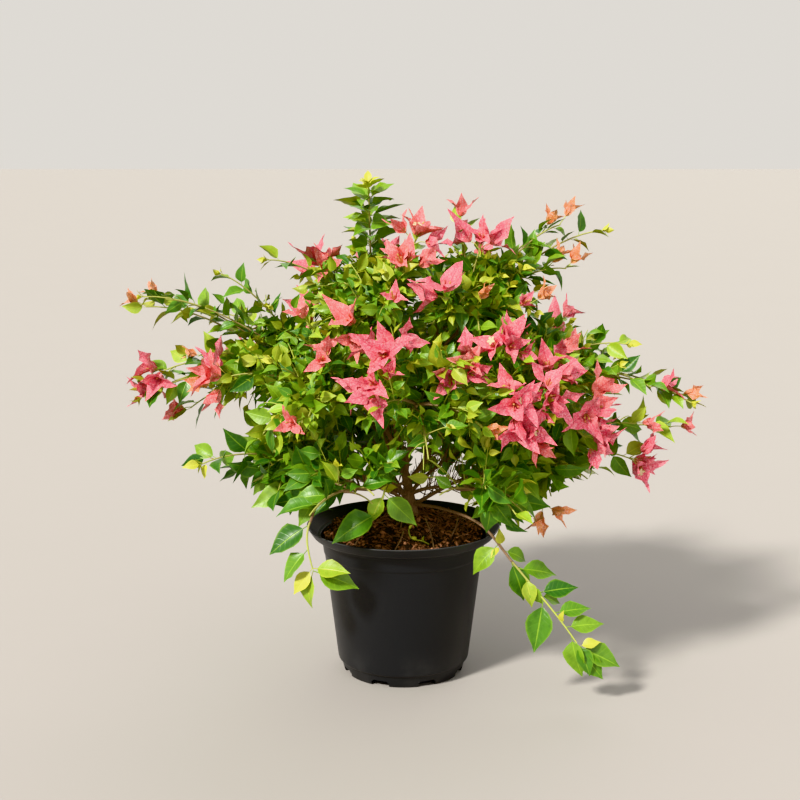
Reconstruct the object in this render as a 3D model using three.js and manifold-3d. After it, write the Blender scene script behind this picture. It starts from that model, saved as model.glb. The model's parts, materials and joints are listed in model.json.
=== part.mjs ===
// A bougainvillea bush in a round nursery pot. Millimetres, +Z up, +X to the right, -Y to the front.
// The origin is at the middle of the pot's flat underside.
// One short trunk stands in the soil. Thin boughs leave it, and each bough carries one mass of
// twigs, leaves and bracts that keeps to its own cell of the crown.
import * as THREE from "three";
import { mergeVertices } from "three/addons/utils/BufferGeometryUtils.js";
import Module from "manifold-3d";

const wasm = await Module();
wasm.setup();

// Driving sizes of the pot: it is 240 mm across the rim, which is the 7 litre size.
const POT_HEIGHT = 187;
const RIM_RADIUS = 120;
const RIM_BAND_HEIGHT = 12.5; // outer face of the rolled rim
const RIM_BAND_FLARE = 7; // how far the band leans out from its lower edge to its crest
const RIM_LIP = 2; // flat width of the crest
const RIM_OVERHANG = 11; // from the band's lower edge in to the wall
const WALL = 2.6;
const RIDGE_DROP = 34; // from the crest down to the faint step in the wall
const RIDGE_STEP = 1;
const WALL_FOOT_RADIUS = 81.5; // wall just above the foot band
const FOOT_STEP = 3.5;
const FOOT_HEIGHT = 15;
const BASE_RADIUS = 75;
const BASE_THICKNESS = 4;
const SLOT_COUNT = 8; // drain slots through the foot band
const SLOT_WIDTH = 23;
const SLOT_HEIGHT = 7.5;
const SLOT_REACH = 12; // how far a slot cuts in from the foot's face
const POT_SIDES = 44;

// Driving sizes of the soil: a low mound with a flat spot where the trunk stands.
const SOIL_EDGE_HEIGHT = 176;
const SOIL_TOP_HEIGHT = 198;
const SOIL_SPOT_RADIUS = 15;
const SOIL_LUMP = 2.6;
const SOIL_SIDES = 28;
const SOIL_RINGS = 5;

// Driving sizes of the wood.
const FIT_GAP = 0.3; // clearance where two pieces meet
const TRUNK_FOOT = [9, 0, SOIL_TOP_HEIGHT + FIT_GAP];
const TRUNK_TOP = [-4, 2, 292];
const TRUNK_FOOT_RADIUS = 6.6;
const TRUNK_TOP_RADIUS = 3.6;
const ROOT_FLARE = 4.2;
const FLARE_LENGTH = 0.09; // share of the trunk's length over which the flare dies away
const FLARE_LOBES = 5;

// Driving sizes of the crown: tiers of foliage round its middle, which lies a little to the right.
const CROWN_MIDDLE = new THREE.Vector3(14, 0, 0);
const TIERS = [
  { name: "low", count: 6, first: 0, reach: 138, height: 262, spread: [84, 84, 52],
    rootFrom: 0.1, rootTo: 0.36, radius: 2.6, lift: 0.1 },
  { name: "middle", count: 7, first: 12.9, reach: 140, height: 366, spread: [90, 90, 74],
    rootFrom: 0.42, rootTo: 0.9, radius: 3.1, lift: 0.42 },
];
const TOP_TIER = {
  name: "top", count: 4, first: 50, reach: 66, height: 462, spread: [78, 78, 66], radius: 2.3,
};
const ROOT_ANGLE_STEP = 3; // neighbours on a ring leave the trunk this many places apart in height

// Hanging and small low shoots: where each bough leaves the trunk, what it passes over and where it
// ends, then the point that its foliage hangs to.
const HANGING = [
  { name: "hanging_right", from: 0.14, over: [93, -82, 206], end: [128, -96, 166],
    tip: [221, -134, 48], spread: 46 },
  { name: "hanging_left", from: 0.24, over: [-88, -66, 262], end: [-110, -96, 214],
    tip: [-98, -112, 118], spread: 46 },
  { name: "front_sprig", from: 0.3, over: [-8, -44, 246], end: [-16, -78, 262],
    tip: [-30, -112, 222], spread: 40 },
];

// Long shoots that stand clear of the crown: across, back and up to the tip.
const LEAFY_SHOOTS = [
  [-42, 14, 582], [-150, 0, 506], [-208, -10, 486], [-298, -18, 464], [-300, -28, 352],
  [-226, -56, 274], [226, 0, 540], [332, -20, 344], [256, 0, 406], [-60, 190, 500],
  [120, 232, 470], [270, 150, 372], [-240, 170, 420], [20, 290, 372], [180, 200, 250],
  [-150, 240, 262],
];
// Clusters of bracts at the front and sides: across, back and up.
const BLOOMS = [
  [19, -62, 552], [8, -100, 520], [42, -132, 488], [92, -62, 546], [-57, -150, 450], [-86, -172, 420],
  [-18, -188, 436], [-34, -200, 396], [-112, -122, 466], [-222, -62, 384], [-302, -24, 384],
  [112, -152, 438], [74, -172, 414], [121, -192, 374], [160, -172, 376], [132, -182, 336],
  [176, -132, 396], [222, -102, 352], [220, -112, 312], [286, -52, 282], [288, -60, 330], [186, -82, 420],
  [172, -80, 222], [176, 0, 556], [-6, -142, 476], [-117, -172, 344],
];
// The back of the crown carries its clusters by rule, on rings at these heights.
const BACK_BLOOMS = {
  heights: [300, 372, 440, 505], reach: [238, 236, 200, 130], perRing: 3, first: 22, span: 136,
};

// Driving sizes of the growth. Leaves are fewer and larger than life.
const FILL_SHOOTS = 4;
const HANGING_SHOOTS = 2;
const INWARD_SHARE = 0.62; // a shoot that points back to the crown's middle is this much shorter
// The rise of a shoot's bow, as a share of its length: it takes the first of these that has room.
const SHOOT_ARCHES = [0.14, 0.09, 0.04, 0, -0.05];
const STEM_RADII = [2.4, 1.8]; // root and tip
const STEM_STEPS = 6;
const SHOOT_RADII = [1.6, 1.1];
const NODE_STEP = 30; // spacing of the nodes along a shoot
const LEAVES_AT_NODE = 3;
const NODE_START = 17; // bare length at a shoot's root
const NODE_LENGTH = 2.4; // a leaf's root is this thick
const NODE_TURN = 17.5; // degrees that each node is twisted past the last
const GOLDEN_TURN = 137.5; // degrees between one shoot of a mass and the next, seen from above
const LEAF_LENGTH = 62;
const LEAF_WIDTH = 0.56; // share of the length
const LEAF_WIDEST = 0.42; // where along the leaf it is widest
const LEAF_FOLD = 0.05; // rise of its edges above the midrib, as a share of the length
const LEAF_DROOP = 0.16; // fall of its tip
const LEAF_LEAN = 56; // degrees from the shoot's line
const LEAF_LEVEL = 0.55; // how far a leaf's face turns from square to the shoot towards the sky
const BLADE_SCALES = [1, 0.76]; // a leaf without room is tried smaller before it is left out
const TIP_LEAF = { size: 0.8, lean: 36 };
const BRACT = { length: 48, width: 0.66, lean: 50, droop: -0.02 };
const CELL_GAP = 0.4; // a mass keeps this far inside its cell
const TIP_MARGIN = 12; // and the tip of a shoot this far
const SHORTEST_SHOOT = 34;
const TOUCH = 0.01; // cubic millimetres shared by two leaves that only meet at a node

const UP = new THREE.Vector3(0, 0, 1);
const radians = THREE.MathUtils.degToRad;
const vector = ([x, y, z]) => new THREE.Vector3(x, y, z);
const mix = THREE.MathUtils.lerp;

// A stream of numbers from 0 to 1 that is the same on every run.
function seeded(seed) {
  let state = seed * 7919 + 13;
  return () => {
    state = (state * 48271) % 2147483647;
    return state / 2147483647;
  };
}

// A closed three.js geometry as a solid.
function solidOf(geometry) {
  const bare = new THREE.BufferGeometry().setAttribute("position", geometry.getAttribute("position"));
  if (geometry.index) bare.setIndex(geometry.index);
  const merged = mergeVertices(bare, 1e-4);
  return new wasm.Manifold(
    new wasm.Mesh({
      numProp: 3,
      vertProperties: new Float32Array(merged.attributes.position.array),
      triVerts: new Uint32Array(merged.index.array),
    }),
  );
}

// A solid as a three.js geometry, with flat faces.
function geometryOf(solid) {
  const { numProp, numVert, vertProperties, triVerts } = solid.getMesh();
  const positions = new Float32Array(numVert * 3);
  for (let i = 0; i < numVert; i++) {
    positions.set(vertProperties.subarray(i * numProp, i * numProp + 3), i * 3);
  }
  const geometry = new THREE.BufferGeometry()
    .setAttribute("position", new THREE.BufferAttribute(positions, 3))
    .setIndex(new THREE.BufferAttribute(triVerts, 1))
    .toNonIndexed();
  geometry.computeVertexNormals();
  return geometry;
}

// The largest piece of a solid: scraps that a cut leaves loose are dropped.
function largestPiece(solid) {
  return solid.decompose().reduce((best, piece) => (piece.volume() > best.volume() ? piece : best));
}

// A round limb along a curve, from a cylinder whose rings are moved onto the curve.
// radiusAt takes the share of the length and the angle round the limb.
function limbGeometry(curve, radiusAt, sides, steps) {
  const geometry = new THREE.CylinderGeometry(1, 1, 1, sides, steps);
  const position = geometry.getAttribute("position");
  const across = new THREE.Vector3();
  const beside = new THREE.Vector3();
  for (let i = 0; i < position.count; i++) {
    const share = THREE.MathUtils.clamp(position.getY(i) + 0.5, 0, 1);
    const along = curve.getTangent(share);
    across.set(1, 0, 0).addScaledVector(along, -along.x);
    if (Math.abs(along.x) > 0.9) across.set(0, 1, 0).addScaledVector(along, -along.y);
    across.normalize();
    beside.crossVectors(across, along);
    const angle = Math.atan2(position.getZ(i), position.getX(i));
    const reach = Math.hypot(position.getX(i), position.getZ(i)) * radiusAt(share, angle);
    const place = curve
      .getPoint(share)
      .addScaledVector(across, Math.cos(angle) * reach)
      .addScaledVector(beside, Math.sin(angle) * reach);
    position.setXYZ(i, place.x, place.y, place.z);
  }
  return geometry;
}

// The faces of a leaf or bract that grows out of four corners of a twig's side, in place of that side.
// The corners run round the side; left and right are the leaf's edges and tip is its point.
function bladeFaces([a, b, c, d], { left, right, tip }) {
  return [
    [a, b, tip],
    [b, c, right],
    [c, d, tip],
    [d, a, left],
    [b, right, tip],
    [c, tip, right],
    [a, tip, left],
    [d, left, tip],
  ];
}

// Where a blade's edges and tip lie. It leans out from the shoot's line, is folded up along its
// midrib, turns its face to the sky and lets its tip droop.
function bladeShape(corners, along, { length, width, lean, droop }) {
  const [a, b, c, d] = corners;
  const root = a.clone().add(b).add(c).add(d).multiplyScalar(0.25);
  const square = b.clone().sub(a).normalize();
  const outward = new THREE.Vector3().crossVectors(square, along).normalize();
  const heading = along
    .clone()
    .multiplyScalar(Math.cos(radians(lean)))
    .addScaledVector(outward, Math.sin(radians(lean)));
  const level = new THREE.Vector3().crossVectors(UP, heading);
  if (level.dot(square) < 0) level.negate();
  const side = square.multiplyScalar(1 - LEAF_LEVEL).addScaledVector(level, LEAF_LEVEL);
  side.addScaledVector(heading, -side.dot(heading)).normalize();
  const top = new THREE.Vector3().crossVectors(side, heading);
  if (top.dot(along) < 0) top.negate();
  const middle = root
    .clone()
    .addScaledVector(heading, LEAF_WIDEST * length)
    .addScaledVector(top, LEAF_FOLD * length);
  return {
    left: middle.clone().addScaledVector(side, (-width * length) / 2),
    right: middle.clone().addScaledVector(side, (width * length) / 2),
    tip: root.clone().addScaledVector(heading, length).addScaledVector(UP, -droop * length),
  };
}

function solidOfFaces(faces) {
  const points = faces.flat().map((p) => [p.x, p.y, p.z]).flat();
  const corners = new THREE.Float32BufferAttribute(points, 3);
  return solidOf(new THREE.BufferGeometry().setAttribute("position", corners));
}

// A three-sided twig along a curve. At each node a pair of rings frames three sides, and blades grow
// from as many of them as the node wants. A blade is left out where accepts says that it has no room,
// and a node without blades is a single ring.
function shootSolid(curve, [rootRadius, tipRadius], nodes, accepts) {
  const length = curve.getLength();
  const ringAt = (at, turn) => {
    const share = THREE.MathUtils.clamp(at / length, 0, 1);
    const [across, beside] = crossFrame(curve.getTangentAt(share));
    const radius = mix(rootRadius, tipRadius, share);
    return [0, 120, 240].map((angle) =>
      curve
        .getPointAt(share)
        .addScaledVector(across, Math.cos(radians(turn + angle)) * radius)
        .addScaledVector(beside, Math.sin(radians(turn + angle)) * radius),
    );
  };
  const sidesOf = (lower, upper) =>
    [0, 1, 2].map((j) => [lower[j], lower[(j + 1) % 3], upper[(j + 1) % 3], upper[j]]);
  const faces = [];
  const own = [];
  let last = ringAt(0, nodes[0].turn);
  faces.push([last[2], last[1], last[0]]);
  const close = (sides, blades) => {
    sides.forEach(([a, b, c, d], j) => {
      if (blades[j]) faces.push(...blades[j]);
      else faces.push([a, b, c], [a, c, d]);
    });
  };
  for (const { at, turn, first, want, blades } of nodes) {
    const lower = ringAt(at - NODE_LENGTH / 2, turn);
    const upper = ringAt(at + NODE_LENGTH / 2, turn);
    const along = curve.getTangentAt(THREE.MathUtils.clamp(at / length, 0, 1));
    const sides = sidesOf(lower, upper);
    const grown = [null, null, null];
    for (const j of [0, 1, 2].map((k) => (k + first) % 3)) {
      if (grown.filter(Boolean).length === want) break;
      const [a, b, c, d] = sides[j];
      for (const scale of BLADE_SCALES) {
        const shape = bladeShape(sides[j], along, { ...blades[j], length: scale * blades[j].length });
        const leaf = bladeFaces(sides[j], shape);
        const solid = solidOfFaces([...leaf, [a, c, b], [a, d, c]]);
        const clear = own.every((other) => solid.intersect(other).volume() < TOUCH);
        if (!clear || !accepts([shape.left, shape.right, shape.tip], solid)) continue;
        grown[j] = leaf;
        own.push(solid);
        break;
      }
    }
    close(sidesOf(last, lower), []);
    last = lower;
    if (grown.some(Boolean)) {
      close(sides, grown);
      last = upper;
    }
  }
  faces.push([last[0], last[1], last[2]]);
  return solidOfFaces(faces);
}

// Two directions square to a line and to each other, in right-handed order with it.
function crossFrame(along) {
  const guide = Math.abs(along.z) > 0.9 ? new THREE.Vector3(1, 0, 0) : UP;
  const across = new THREE.Vector3().crossVectors(along, guide).normalize();
  return [across, new THREE.Vector3().crossVectors(along, across).normalize()];
}

// The pot: a turned wall with a rolled rim, a faint ridge and a foot band, cut by the drain slots.
const wallTopRadius = RIM_RADIUS - RIM_BAND_FLARE - RIM_OVERHANG;
const bandFoot = POT_HEIGHT - RIM_BAND_HEIGHT;
const wallRadius = (z) =>
  mix(WALL_FOOT_RADIUS, wallTopRadius, (z - FOOT_HEIGHT) / (bandFoot - FOOT_HEIGHT));
function potSolid() {
  const ridge = POT_HEIGHT - RIDGE_DROP;
  const outline = [
    [0, 0],
    [BASE_RADIUS - 2, 0],
    [BASE_RADIUS, 2],
    [WALL_FOOT_RADIUS - FOOT_STEP, FOOT_HEIGHT],
    [WALL_FOOT_RADIUS, FOOT_HEIGHT + 2],
    [wallRadius(ridge) - RIDGE_STEP, ridge - 1],
    [wallRadius(ridge), ridge],
    [wallTopRadius, bandFoot],
    [RIM_RADIUS - RIM_BAND_FLARE, bandFoot],
    [RIM_RADIUS, POT_HEIGHT],
    [RIM_RADIUS - RIM_LIP, POT_HEIGHT],
    [wallTopRadius - WALL, bandFoot - 6],
    [BASE_RADIUS - WALL, BASE_THICKNESS],
    [0, BASE_THICKNESS],
  ].map(([r, z]) => new THREE.Vector2(r, z));
  const turned = new THREE.LatheGeometry(outline, POT_SIDES).rotateX(Math.PI / 2);
  const slots = [];
  for (let i = 0; i < SLOT_COUNT; i++) {
    const angle = ((i + 0.5) / SLOT_COUNT) * 2 * Math.PI;
    const slot = new THREE.BoxGeometry(2 * SLOT_REACH, SLOT_WIDTH, 2 * SLOT_HEIGHT)
      .translate(BASE_RADIUS, 0, 0)
      .rotateZ(angle);
    slots.push(solidOf(slot));
  }
  return solidOf(turned).subtract(wasm.Manifold.union(slots));
}

// The soil: it fills the pot with a fit gap, and its top is a lumpy mound.
function soilHeight(radius) {
  const share = THREE.MathUtils.clamp((radius - SOIL_SPOT_RADIUS) / 90, 0, 1);
  return mix(SOIL_TOP_HEIGHT, SOIL_EDGE_HEIGHT, share * share * (3 - 2 * share));
}
function soilSolid() {
  const draw = seeded(5);
  const floor = BASE_THICKNESS + FIT_GAP;
  const edge = wallTopRadius - WALL - FIT_GAP - 0.7;
  const outline = [
    [0, floor],
    [BASE_RADIUS - WALL - 1, floor],
    [edge, bandFoot - 6.4],
    [edge + 1, SOIL_EDGE_HEIGHT - 4],
  ];
  for (let ring = 0; ring < SOIL_RINGS; ring++) {
    const radius = mix(edge, SOIL_SPOT_RADIUS, ring / (SOIL_RINGS - 1));
    outline.push([radius, soilHeight(radius)]);
  }
  outline.push([0, SOIL_TOP_HEIGHT]);
  const points = outline.map(([r, z]) => new THREE.Vector2(r, z));
  const turned = new THREE.LatheGeometry(points, SOIL_SIDES).rotateX(Math.PI / 2);
  const bare = new THREE.BufferGeometry().setAttribute("position", turned.getAttribute("position"));
  const merged = mergeVertices(bare.setIndex(turned.index), 1e-3);
  const position = merged.getAttribute("position");
  for (let i = 0; i < position.count; i++) {
    const radius = Math.hypot(position.getX(i), position.getY(i));
    const free = position.getZ(i) > SOIL_EDGE_HEIGHT - 1 && radius > SOIL_SPOT_RADIUS + 1;
    if (free) position.setZ(i, position.getZ(i) + SOIL_LUMP * (2 * draw() - 1));
  }
  return solidOf(merged);
}

// Every limb so far, with its curve and radius, for what has to keep clear of it.
const limbs = [];

// A limb grows from inside its parent. The sleeves of the limbs before it are cut from it, so it meets
// them with the fit gap.
function growLimb(name, curve, rootRadius, tipRadius, sides, steps, flare = () => 0) {
  const radiusAt = (share, angle = 0) => mix(rootRadius, tipRadius, share) + flare(share, angle);
  let solid = solidOf(limbGeometry(curve, radiusAt, sides, steps));
  const sleeves = limbs.map((limb) => limb.sleeve);
  if (sleeves.length) solid = largestPiece(solid.subtract(wasm.Manifold.union(sleeves)));
  const sleeveRadius = (share, angle) => radiusAt(share, angle) + FIT_GAP;
  const sleeve = solidOf(limbGeometry(curve, sleeveRadius, sides, steps));
  limbs.push({ name, curve, solid, sleeve });
  return limbs.at(-1);
}

function growTrunk() {
  const foot = vector(TRUNK_FOOT);
  const top = vector(TRUNK_TOP);
  const height = top.z - foot.z;
  const curve = new THREE.CubicBezierCurve3(
    foot,
    foot.clone().add(new THREE.Vector3(0, 0, height * 0.35)),
    top.clone().add(new THREE.Vector3(2, 0, -height * 0.35)),
    top,
  );
  const flare = (share, angle) =>
    ROOT_FLARE * Math.exp(-share / FLARE_LENGTH) * (0.75 + 0.25 * Math.cos(FLARE_LOBES * angle));
  return growLimb("trunk", curve, TRUNK_FOOT_RADIUS, TRUNK_TOP_RADIUS, 12, 12, flare);
}

// A bough from a point on its parent to the place where it enters its mass. It rises first and then
// leans out.
function growBough(name, parent, share, end, radius, outward, lift) {
  const root = parent.curve.getPoint(share);
  const length = root.distanceTo(end);
  const first = root
    .clone()
    .addScaledVector(outward, 0.22 * length)
    .addScaledVector(UP, 0.3 * length * (0.3 + lift));
  const last = end
    .clone()
    .addScaledVector(outward, -0.34 * length)
    .addScaledVector(UP, -0.16 * length * lift);
  const curve = new THREE.CubicBezierCurve3(root, first, last, end);
  return growLimb(name, curve, radius, radius * 0.6, 6, 6);
}

const azimuth = (degrees) => new THREE.Vector3(Math.cos(radians(degrees)), Math.sin(radians(degrees)), 0);

// Masses of foliage, each with its heart, its spread, and the bough's tip that it grows from.
const masses = [];
const trunk = growTrunk();
for (const tier of TIERS) {
  for (let i = 0; i < tier.count; i++) {
    const out = azimuth(tier.first + (360 * i) / tier.count);
    const heart = CROWN_MIDDLE.clone().addScaledVector(out, tier.reach).setZ(tier.height);
    const end = heart
      .clone()
      .addScaledVector(out, -0.5 * tier.spread[0])
      .addScaledVector(UP, -0.2 * tier.spread[2]);
    const place = (i * ROOT_ANGLE_STEP) % tier.count;
    const share = mix(tier.rootFrom, tier.rootTo, place / (tier.count - 1));
    const name = `${tier.name}_${i + 1}`;
    const bough = growBough(`bough_${name}`, trunk, share, end, tier.radius, out, tier.lift);
    masses.push({ name: `foliage_${name}`, heart, spread: vector(tier.spread), out, bough });
  }
}
const middleBoughs = limbs.filter((limb) => limb.name.startsWith("bough_middle"));
for (let i = 0; i < TOP_TIER.count; i++) {
  const out = azimuth(TOP_TIER.first + (360 * i) / TOP_TIER.count);
  const heart = CROWN_MIDDLE.clone().addScaledVector(out, TOP_TIER.reach).setZ(TOP_TIER.height);
  const end = heart.clone().addScaledVector(UP, -0.55 * TOP_TIER.spread[2]).addScaledVector(out, -8);
  const parent = middleBoughs.reduce((best, limb) => {
    const near = (candidate) => candidate.curve.getPoint(0.5).distanceTo(end);
    return near(limb) < near(best) ? limb : best;
  });
  const name = `${TOP_TIER.name}_${i + 1}`;
  const bough = growBough(`bough_${name}`, parent, 0.42, end, TOP_TIER.radius, out, 1.6);
  masses.push({ name: `foliage_${name}`, heart, spread: vector(TOP_TIER.spread), out, bough });
}
for (const { name, from, over, end, tip, spread } of HANGING) {
  const root = trunk.curve.getPoint(from);
  const out = vector(end).sub(root).setZ(0).normalize();
  const rise = root.clone().lerp(vector(over), 0.5).addScaledVector(UP, 6);
  const curve = new THREE.CatmullRomCurve3([root, rise, vector(over), vector(end)]);
  const bough = growLimb(`bough_${name}`, curve, 2.1, 1.5, 6, 10);
  const heart = vector(end).lerp(vector(tip), 0.5);
  masses.push({
    name: `foliage_${name}`,
    heart,
    spread: new THREE.Vector3(spread, spread, spread),
    out,
    bough,
    hangsTo: vector(tip),
  });
}

// How far a point lies inside a mass's cell: the cells part halfway between two hearts.
function insideCell(mass, point) {
  let least = Infinity;
  for (const other of masses) {
    if (other === mass) continue;
    const apart = other.heart.clone().sub(mass.heart);
    const middle = other.heart.clone().add(mass.heart).multiplyScalar(0.5);
    least = Math.min(least, middle.sub(point).dot(apart) / apart.length());
  }
  return least;
}

// What foliage has to keep clear of: every limb with its fit gap, the pot and the air over the soil.
const potSpace = solidOf(
  new THREE.CylinderGeometry(RIM_RADIUS + 3, WALL_FOOT_RADIUS + 6, POT_HEIGHT + 4, 24)
    .rotateX(Math.PI / 2)
    .translate(0, 0, (POT_HEIGHT + 4) / 2),
);
const soilSpace = solidOf(
  new THREE.CylinderGeometry(60, 100, 22, 24).rotateX(Math.PI / 2).translate(0, 0, SOIL_TOP_HEIGHT - 6),
);
const ground = solidOf(new THREE.BoxGeometry(2000, 2000, 40).translate(0, 0, -17));
const obstacles = wasm.Manifold.union([...limbs.map((limb) => limb.sleeve), potSpace, soilSpace, ground]);

// The shoots of a mass: a stem on from its bough, then shoots from the stem to tips all round its heart.
function shootCurve(root, tip, arch) {
  const length = root.distanceTo(tip);
  const rise = UP.clone().multiplyScalar(arch * length);
  return new THREE.CubicBezierCurve3(
    root,
    root.clone().lerp(tip, 0.35).add(rise),
    root.clone().lerp(tip, 0.72).add(rise),
    tip,
  );
}

function stemOf(mass) {
  const heading = mass.bough.curve.getTangent(1);
  const start = mass.bough.curve.getPoint(1).addScaledVector(heading, FIT_GAP);
  const end = mass.hangsTo ?? mass.heart.clone().addScaledVector(mass.out, 0.3 * mass.spread.x);
  const length = start.distanceTo(end);
  return new THREE.CubicBezierCurve3(
    start,
    start.clone().addScaledVector(heading, 0.3 * length),
    start.clone().lerp(end, 0.66).addScaledVector(UP, 0.08 * length),
    end,
  );
}

function tipsOf(mass, index) {
  const draw = seeded(index + 1);
  const turn = 2 * Math.PI * draw();
  const tips = [];
  const count = mass.hangsTo ? HANGING_SHOOTS : FILL_SHOOTS;
  for (let i = 0; i < count; i++) {
    const level = 1 - (2 * (i + 0.5)) / count;
    const angle = turn + i * radians(GOLDEN_TURN);
    const ring = Math.sqrt(1 - level * level);
    const way = new THREE.Vector3(Math.cos(angle) * ring, Math.sin(angle) * ring, level);
    const inward = Math.max(0, -way.dot(mass.out));
    const reach = mix(1, INWARD_SHARE, inward) * mix(0.9, 1.08, draw());
    const tip = mass.heart.clone().add(way.multiply(mass.spread).multiplyScalar(reach));
    tips.push({ tip, bloom: false });
  }
  return tips;
}

const nearestMass = (tip) =>
  masses.reduce((best, mass) => (insideCell(mass, tip) > insideCell(best, tip) ? mass : best));

for (const mass of masses) mass.tips = [];
const dealTip = (tip, bloom) => nearestMass(tip).tips.push({ tip, bloom });
for (const tip of LEAFY_SHOOTS) dealTip(vector(tip), false);
for (const tip of BLOOMS) dealTip(vector(tip), true);
BACK_BLOOMS.heights.forEach((height, ring) => {
  const { reach, perRing, first, span } = BACK_BLOOMS;
  for (let i = 0; i < perRing; i++) {
    const angle = first + (span * (i + 0.5 * (ring % 2))) / (perRing - 0.5);
    dealTip(CROWN_MIDDLE.clone().addScaledVector(azimuth(angle), reach[ring]).setZ(height), true);
  }
});

for (const mass of masses) mass.tips.push(...tipsOf(mass, masses.indexOf(mass)));

// The nodes of a shoot: up to three leaves at each, and small leaves or three bracts at its tip.
function nodesOf(length, bloom, draw) {
  const nodes = [];
  const turn = 360 * draw();
  const last = length - NODE_LENGTH;
  const count = Math.max(1, Math.round((last - NODE_START) / NODE_STEP));
  for (let i = 0; i <= count; i++) {
    const atTip = i === count;
    const leaf = () => ({
      length: LEAF_LENGTH * (atTip ? TIP_LEAF.size : 1) * mix(0.88, 1.1, draw()),
      width: LEAF_WIDTH,
      lean: atTip ? TIP_LEAF.lean : LEAF_LEAN,
      droop: LEAF_DROOP,
    });
    const bracts = atTip && bloom;
    const blades = bracts ? [BRACT, BRACT, BRACT] : [leaf(), leaf(), leaf()];
    const at = mix(NODE_START, last, i / count);
    const want = bracts ? 3 : LEAVES_AT_NODE;
    nodes.push({ at, turn: turn + NODE_TURN * i, first: i % 3, blades, want });
  }
  return nodes;
}

// The curve of a shoot that has room: its tip is drawn in until it lies in the cell, and the bow with
// the highest arch that keeps to the cell, and clears the limbs and the leaves before it, is taken.
function roomyCurve(mass, grown, root, tip) {
  const end = tip.clone();
  while (insideCell(mass, end) < TIP_MARGIN && root.distanceTo(end) > SHORTEST_SHOOT) end.lerp(root, 0.1);
  if (root.distanceTo(end) <= SHORTEST_SHOOT) return null;
  return SHOOT_ARCHES.map((arch) => shootCurve(root, end, arch)).find((curve) => {
    const points = curve.getSpacedPoints(12);
    if (points.some((p) => insideCell(mass, p) < 2)) return false;
    const outer = new THREE.CatmullRomCurve3(points.slice(2));
    const bare = solidOf(limbGeometry(outer, () => SHOOT_RADII[0], 3, 8));
    return bare.intersect(obstacles).isEmpty() && bare.intersect(grown).isEmpty();
  });
}

// One mass: its stem, its shoots that stay in the cell, and what they carry, all fused into one solid.
function massSolid(mass, index) {
  const draw = seeded(index + 101);
  const stem = stemOf(mass);
  let grown;
  const accepts = (points, solid) =>
    points.every((p) => insideCell(mass, p) > CELL_GAP) &&
    solid.intersect(obstacles).isEmpty() &&
    (!grown || solid.intersect(grown).isEmpty());
  if (mass.hangsTo) {
    grown = shootSolid(stem, SHOOT_RADII, nodesOf(stem.getLength(), false, draw), accepts);
  } else {
    grown = solidOf(limbGeometry(stem, (share) => mix(...STEM_RADII, share), 4, STEM_STEPS));
  }
  mass.tips.forEach(({ tip, bloom }, i) => {
    const wanted = Math.ceil(mix(1, STEM_STEPS, (i + 0.5) / mass.tips.length));
    const near = [0, -1, 1, -2, 2].map((step) => wanted + step);
    const rings = near.filter((ring) => ring > 1 && ring <= STEM_STEPS);
    let curve;
    for (const ring of rings) curve ??= roomyCurve(mass, grown, stem.getPoint(ring / STEM_STEPS), tip);
    if (!curve) return;
    const shoot = shootSolid(curve, SHOOT_RADII, nodesOf(curve.getLength(), bloom, draw), accepts);
    grown = grown.add(shoot);
  });
  return largestPiece(grown.simplify(0.02));
}

const colours = {
  pot: { color: 0x2b2b2d, roughness: 0.55, metalness: 0 },
  soil: { color: 0x4a2a1b, roughness: 0.95, metalness: 0 },
  bark: { color: 0x7a5a40, roughness: 0.85, metalness: 0 },
  leaf: { color: 0x4c8a1e, roughness: 0.5, metalness: 0 },
};

const bush = new THREE.Group();
function place(name, solid, look) {
  const mesh = new THREE.Mesh(geometryOf(solid), new THREE.MeshStandardMaterial(colours[look]));
  mesh.name = name;
  bush.add(mesh);
}

place("pot", potSolid(), "pot");
place("soil", soilSolid(), "soil");
for (const limb of limbs) place(limb.name, limb.solid, "bark");
masses.forEach((mass, index) => place(mass.name, massSolid(mass, index), "leaf"));

export default bush;
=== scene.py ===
"""A bougainvillea bush in a nursery pot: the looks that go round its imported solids.

The crown is grown by the rule that the solids follow, and carried on to finer twigs, leaves,
bracts and flowers. Lengths in the growth rule are in millimetres; every mesh is in metres.
+Z is up, +X to the right and -Y to the front. The origin is under the middle of the pot.
"""

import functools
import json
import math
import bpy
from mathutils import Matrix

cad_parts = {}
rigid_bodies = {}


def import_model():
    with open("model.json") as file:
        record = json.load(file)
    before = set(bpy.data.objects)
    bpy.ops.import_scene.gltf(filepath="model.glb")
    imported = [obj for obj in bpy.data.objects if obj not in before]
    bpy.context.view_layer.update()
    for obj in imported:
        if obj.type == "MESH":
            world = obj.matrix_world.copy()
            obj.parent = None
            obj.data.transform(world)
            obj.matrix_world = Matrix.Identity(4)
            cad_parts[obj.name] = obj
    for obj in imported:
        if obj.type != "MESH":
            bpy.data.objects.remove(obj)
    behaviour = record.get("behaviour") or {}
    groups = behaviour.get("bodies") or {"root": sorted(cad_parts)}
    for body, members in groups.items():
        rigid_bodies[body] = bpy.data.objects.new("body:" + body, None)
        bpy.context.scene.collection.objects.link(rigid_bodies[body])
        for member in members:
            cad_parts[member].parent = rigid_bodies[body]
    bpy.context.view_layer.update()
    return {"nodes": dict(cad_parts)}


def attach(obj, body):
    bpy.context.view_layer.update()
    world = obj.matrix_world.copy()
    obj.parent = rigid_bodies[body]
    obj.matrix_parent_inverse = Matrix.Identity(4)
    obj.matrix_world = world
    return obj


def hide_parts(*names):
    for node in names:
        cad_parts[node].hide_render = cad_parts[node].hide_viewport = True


bl_info = {
    "name": "Potted Bougainvillea",
    "version": (1, 0, 0),
    "blender": (4, 5, 0),
    "location": "3D View > Sidebar > Bush",
    "description": "Makes a flowering shrub in a nursery pot, from its soil to its bracts",
    "category": "Add Mesh",
}

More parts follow.
